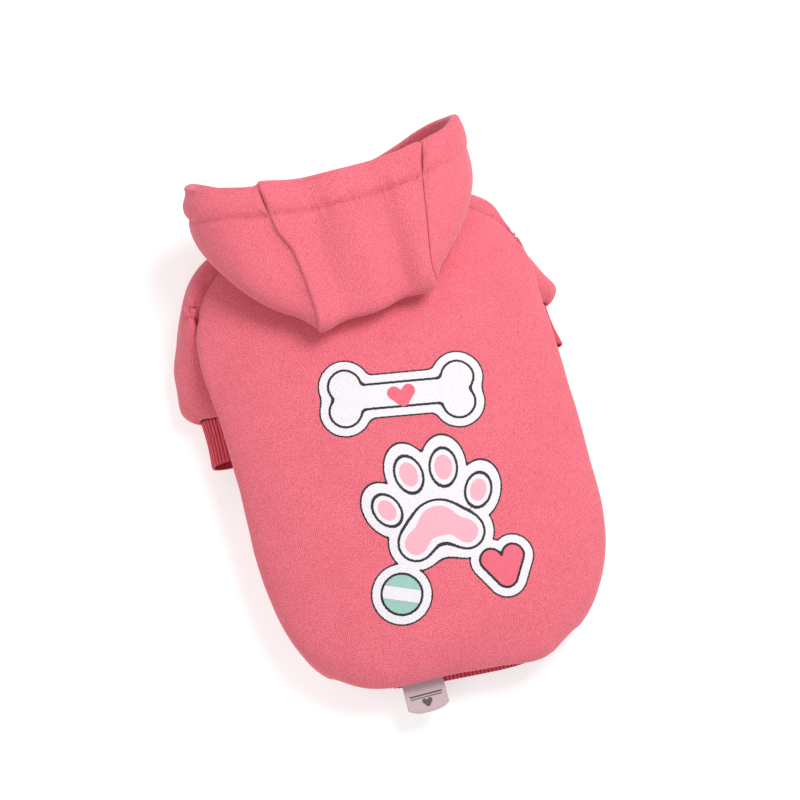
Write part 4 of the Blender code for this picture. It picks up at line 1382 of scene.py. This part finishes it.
@dataclass
class Label:
    """A woven label, folded in two, which hangs out of the hem."""

    hem: HemBand
    width: float = 0.0225
    length: float = 0.0240
    cloth: float = 0.0005
    fold: float = 0.0008
    gap: float = 0.0009
    start: float = 0.0130
    middle_x: float = -0.0245
    corner: float = 0.12
    fold_share: float = 0.10

    def build(self, maker: Maker) -> None:
        """Makes the label."""
        half = self.hem.body.hem[0] / 2
        middle = self.middle_x - self.hem.body.tail_shift
        seam = self.hem.seam(np.array([math.degrees(math.asin(middle / half))]))[0]
        straight = self.length - self.fold
        leg = (1 - self.fold_share) / 2

        def loop(u: np.ndarray, v: np.ndarray) -> np.ndarray:
            turn = math.pi * np.clip((v - leg) / self.fold_share, 0.0, 1.0)
            out = straight * np.minimum(1.0, np.minimum(v, 1 - v) / leg)
            rounded = self.corner * self.length * (2 * np.abs(u - 0.5)) ** 3 * (out / straight) ** 2
            y = seam[1] - self.start - out - self.fold * np.sin(turn) + rounded
            z = seam[2] + self.gap + self.fold * (1 - np.cos(turn))
            return np.column_stack((self.middle_x + (u - 0.5) * self.width, y, z))

        cloth = Cloth(grid_of(loop, 120, 50))
        finish = KnitFinish(
            "woven_label",
            (0.620, 0.500, 0.520, 1.0),
            (0.430, 0.330, 0.350, 1.0),
            (0.30, 0.20, 0.22, 1.0),
            wale_cm=0.045,
            course_cm=0.03,
            fuzz=0.3,
            bump=0.2,
            sheen=0.05,
        )
        piece = maker.cloth("woven_label", cloth, finish.material(), self.cloth)
        maker.fit(piece, "side_label", cloth)
        self.build_motif(maker, piece)

    def build_motif(self, maker: Maker, label: bpy.types.Object) -> None:
        """Makes a small woven heart between two stripes on the label's free end."""
        xs = [vertex.co.x for vertex in label.data.vertices]
        ys = [vertex.co.y for vertex in label.data.vertices]
        x, y, mm = (min(xs) + max(xs)) / 2, min(ys), 0.001
        heart = joined(
            bar(x - 1.5 * mm, y + 6.2 * mm, x, y + 4.2 * mm, 1.3 * mm),
            bar(x + 1.5 * mm, y + 6.2 * mm, x, y + 4.2 * mm, 1.3 * mm),
        )
        stripes = (
            bar(x - 8.5 * mm, y + 9.6 * mm, x + 8.5 * mm, y + 9.6 * mm, 0.45 * mm),
            bar(x - 8.5 * mm, y + 8.2 * mm, x + 8.5 * mm, y + 8.2 * mm, 0.25 * mm),
        )
        window = {"low": (min(xs), min(ys)), "high": (max(xs), max(ys)), "cell": 0.00022}
        thread = InkFinish("label_thread", (0.105, 0.080, 0.090, 1.0)).material()
        motif = joined(heart, *stripes)
        film = Print(face_tree(label), **window).film("label_motif", motif, 1, thread)
        maker.finish(film, [], "side_label")


@dataclass
class Studio:
    """The floor, the lights and the camera."""

    azimuth_deg: float = -14.5
    elevation_deg: float = 75.0
    distance: float = 1.2
    lens_mm: float = 98.0
    target: tuple[float, float, float] = (0.0079, 0.0112, 0.030)

    def build(self) -> None:
        """Sets the scene up."""
        bm = bmesh.new()
        bmesh.ops.create_grid(bm, x_segments=1, y_segments=1, size=3.0)
        shader = Shader("floor_paper")
        shader.set(Base_Color=(0.62, 0.62, 0.62, 1.0), Roughness=0.9)
        shader.set(Emission_Color=(1.0, 1.0, 1.0, 1.0), Emission_Strength=0.52)
        floor = smooth_object(bm, "floor", shader.material)
        bpy.context.scene.view_settings.view_transform = "Standard"
        world = bpy.data.worlds.new("studio")
        bpy.context.scene.world = world
        world.use_nodes = True
        background = world.node_tree.nodes["Background"].inputs
        background["Color"].default_value = (1.0, 1.0, 1.0, 1.0)
        background["Strength"].default_value = 0.54
        self.light("key", (0.52, 0.28, 1.08), 0.55, 10.4)
        self.light("fill", (-0.5, -0.6, 1.0), 0.9, 3.0)
        data = bpy.data.cameras.new("photo_angle")
        data.lens = self.lens_mm
        data.sensor_width = 36.0
        camera = bpy.data.objects.new("photo_angle", data)
        bpy.context.collection.objects.link(camera)
        a, e = math.radians(self.azimuth_deg), math.radians(self.elevation_deg)
        back = Vector((math.sin(a) * math.cos(e), -math.cos(a) * math.cos(e), math.sin(e)))
        camera.location = Vector(self.target) + back * self.distance
        camera.rotation_euler = back.to_track_quat("Z", "Y").to_euler()
        bpy.context.scene.camera = camera

    def light(self, name: str, place: tuple[float, float, float], size: float, power: float) -> None:
        """Adds a soft lamp which points at the garment."""
        data = bpy.data.lights.new(name, "AREA")
        data.shape = "DISK"
        data.size = size
        data.energy = power
        lamp = bpy.data.objects.new(name, data)
        bpy.context.collection.objects.link(lamp)
        lamp.location = place
        lamp.rotation_euler = Vector(place).to_track_quat("Z", "Y").to_euler()


def main() -> None:
    """Builds every piece on the frame."""
    logging.basicConfig(level=logging.INFO, format="%(message)s")
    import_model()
    maker = Maker()
    fleece, rib, thread = PINK_FLEECE.material(), PINK_RIB.material(), SEAM_THREAD.material()
    body = Body()
    back = body.build(maker, fleece)
    for side in Side:
        Sleeve(side, body).build(maker, fleece, rib)
    hem = HemBand(body)
    hem.build(maker, rib)
    Hood(body).build(maker, fleece, thread)
    Print(back).build(maker)
    Label(hem).build(maker)
    Studio().build()


if __name__ == "__main__":
    main()
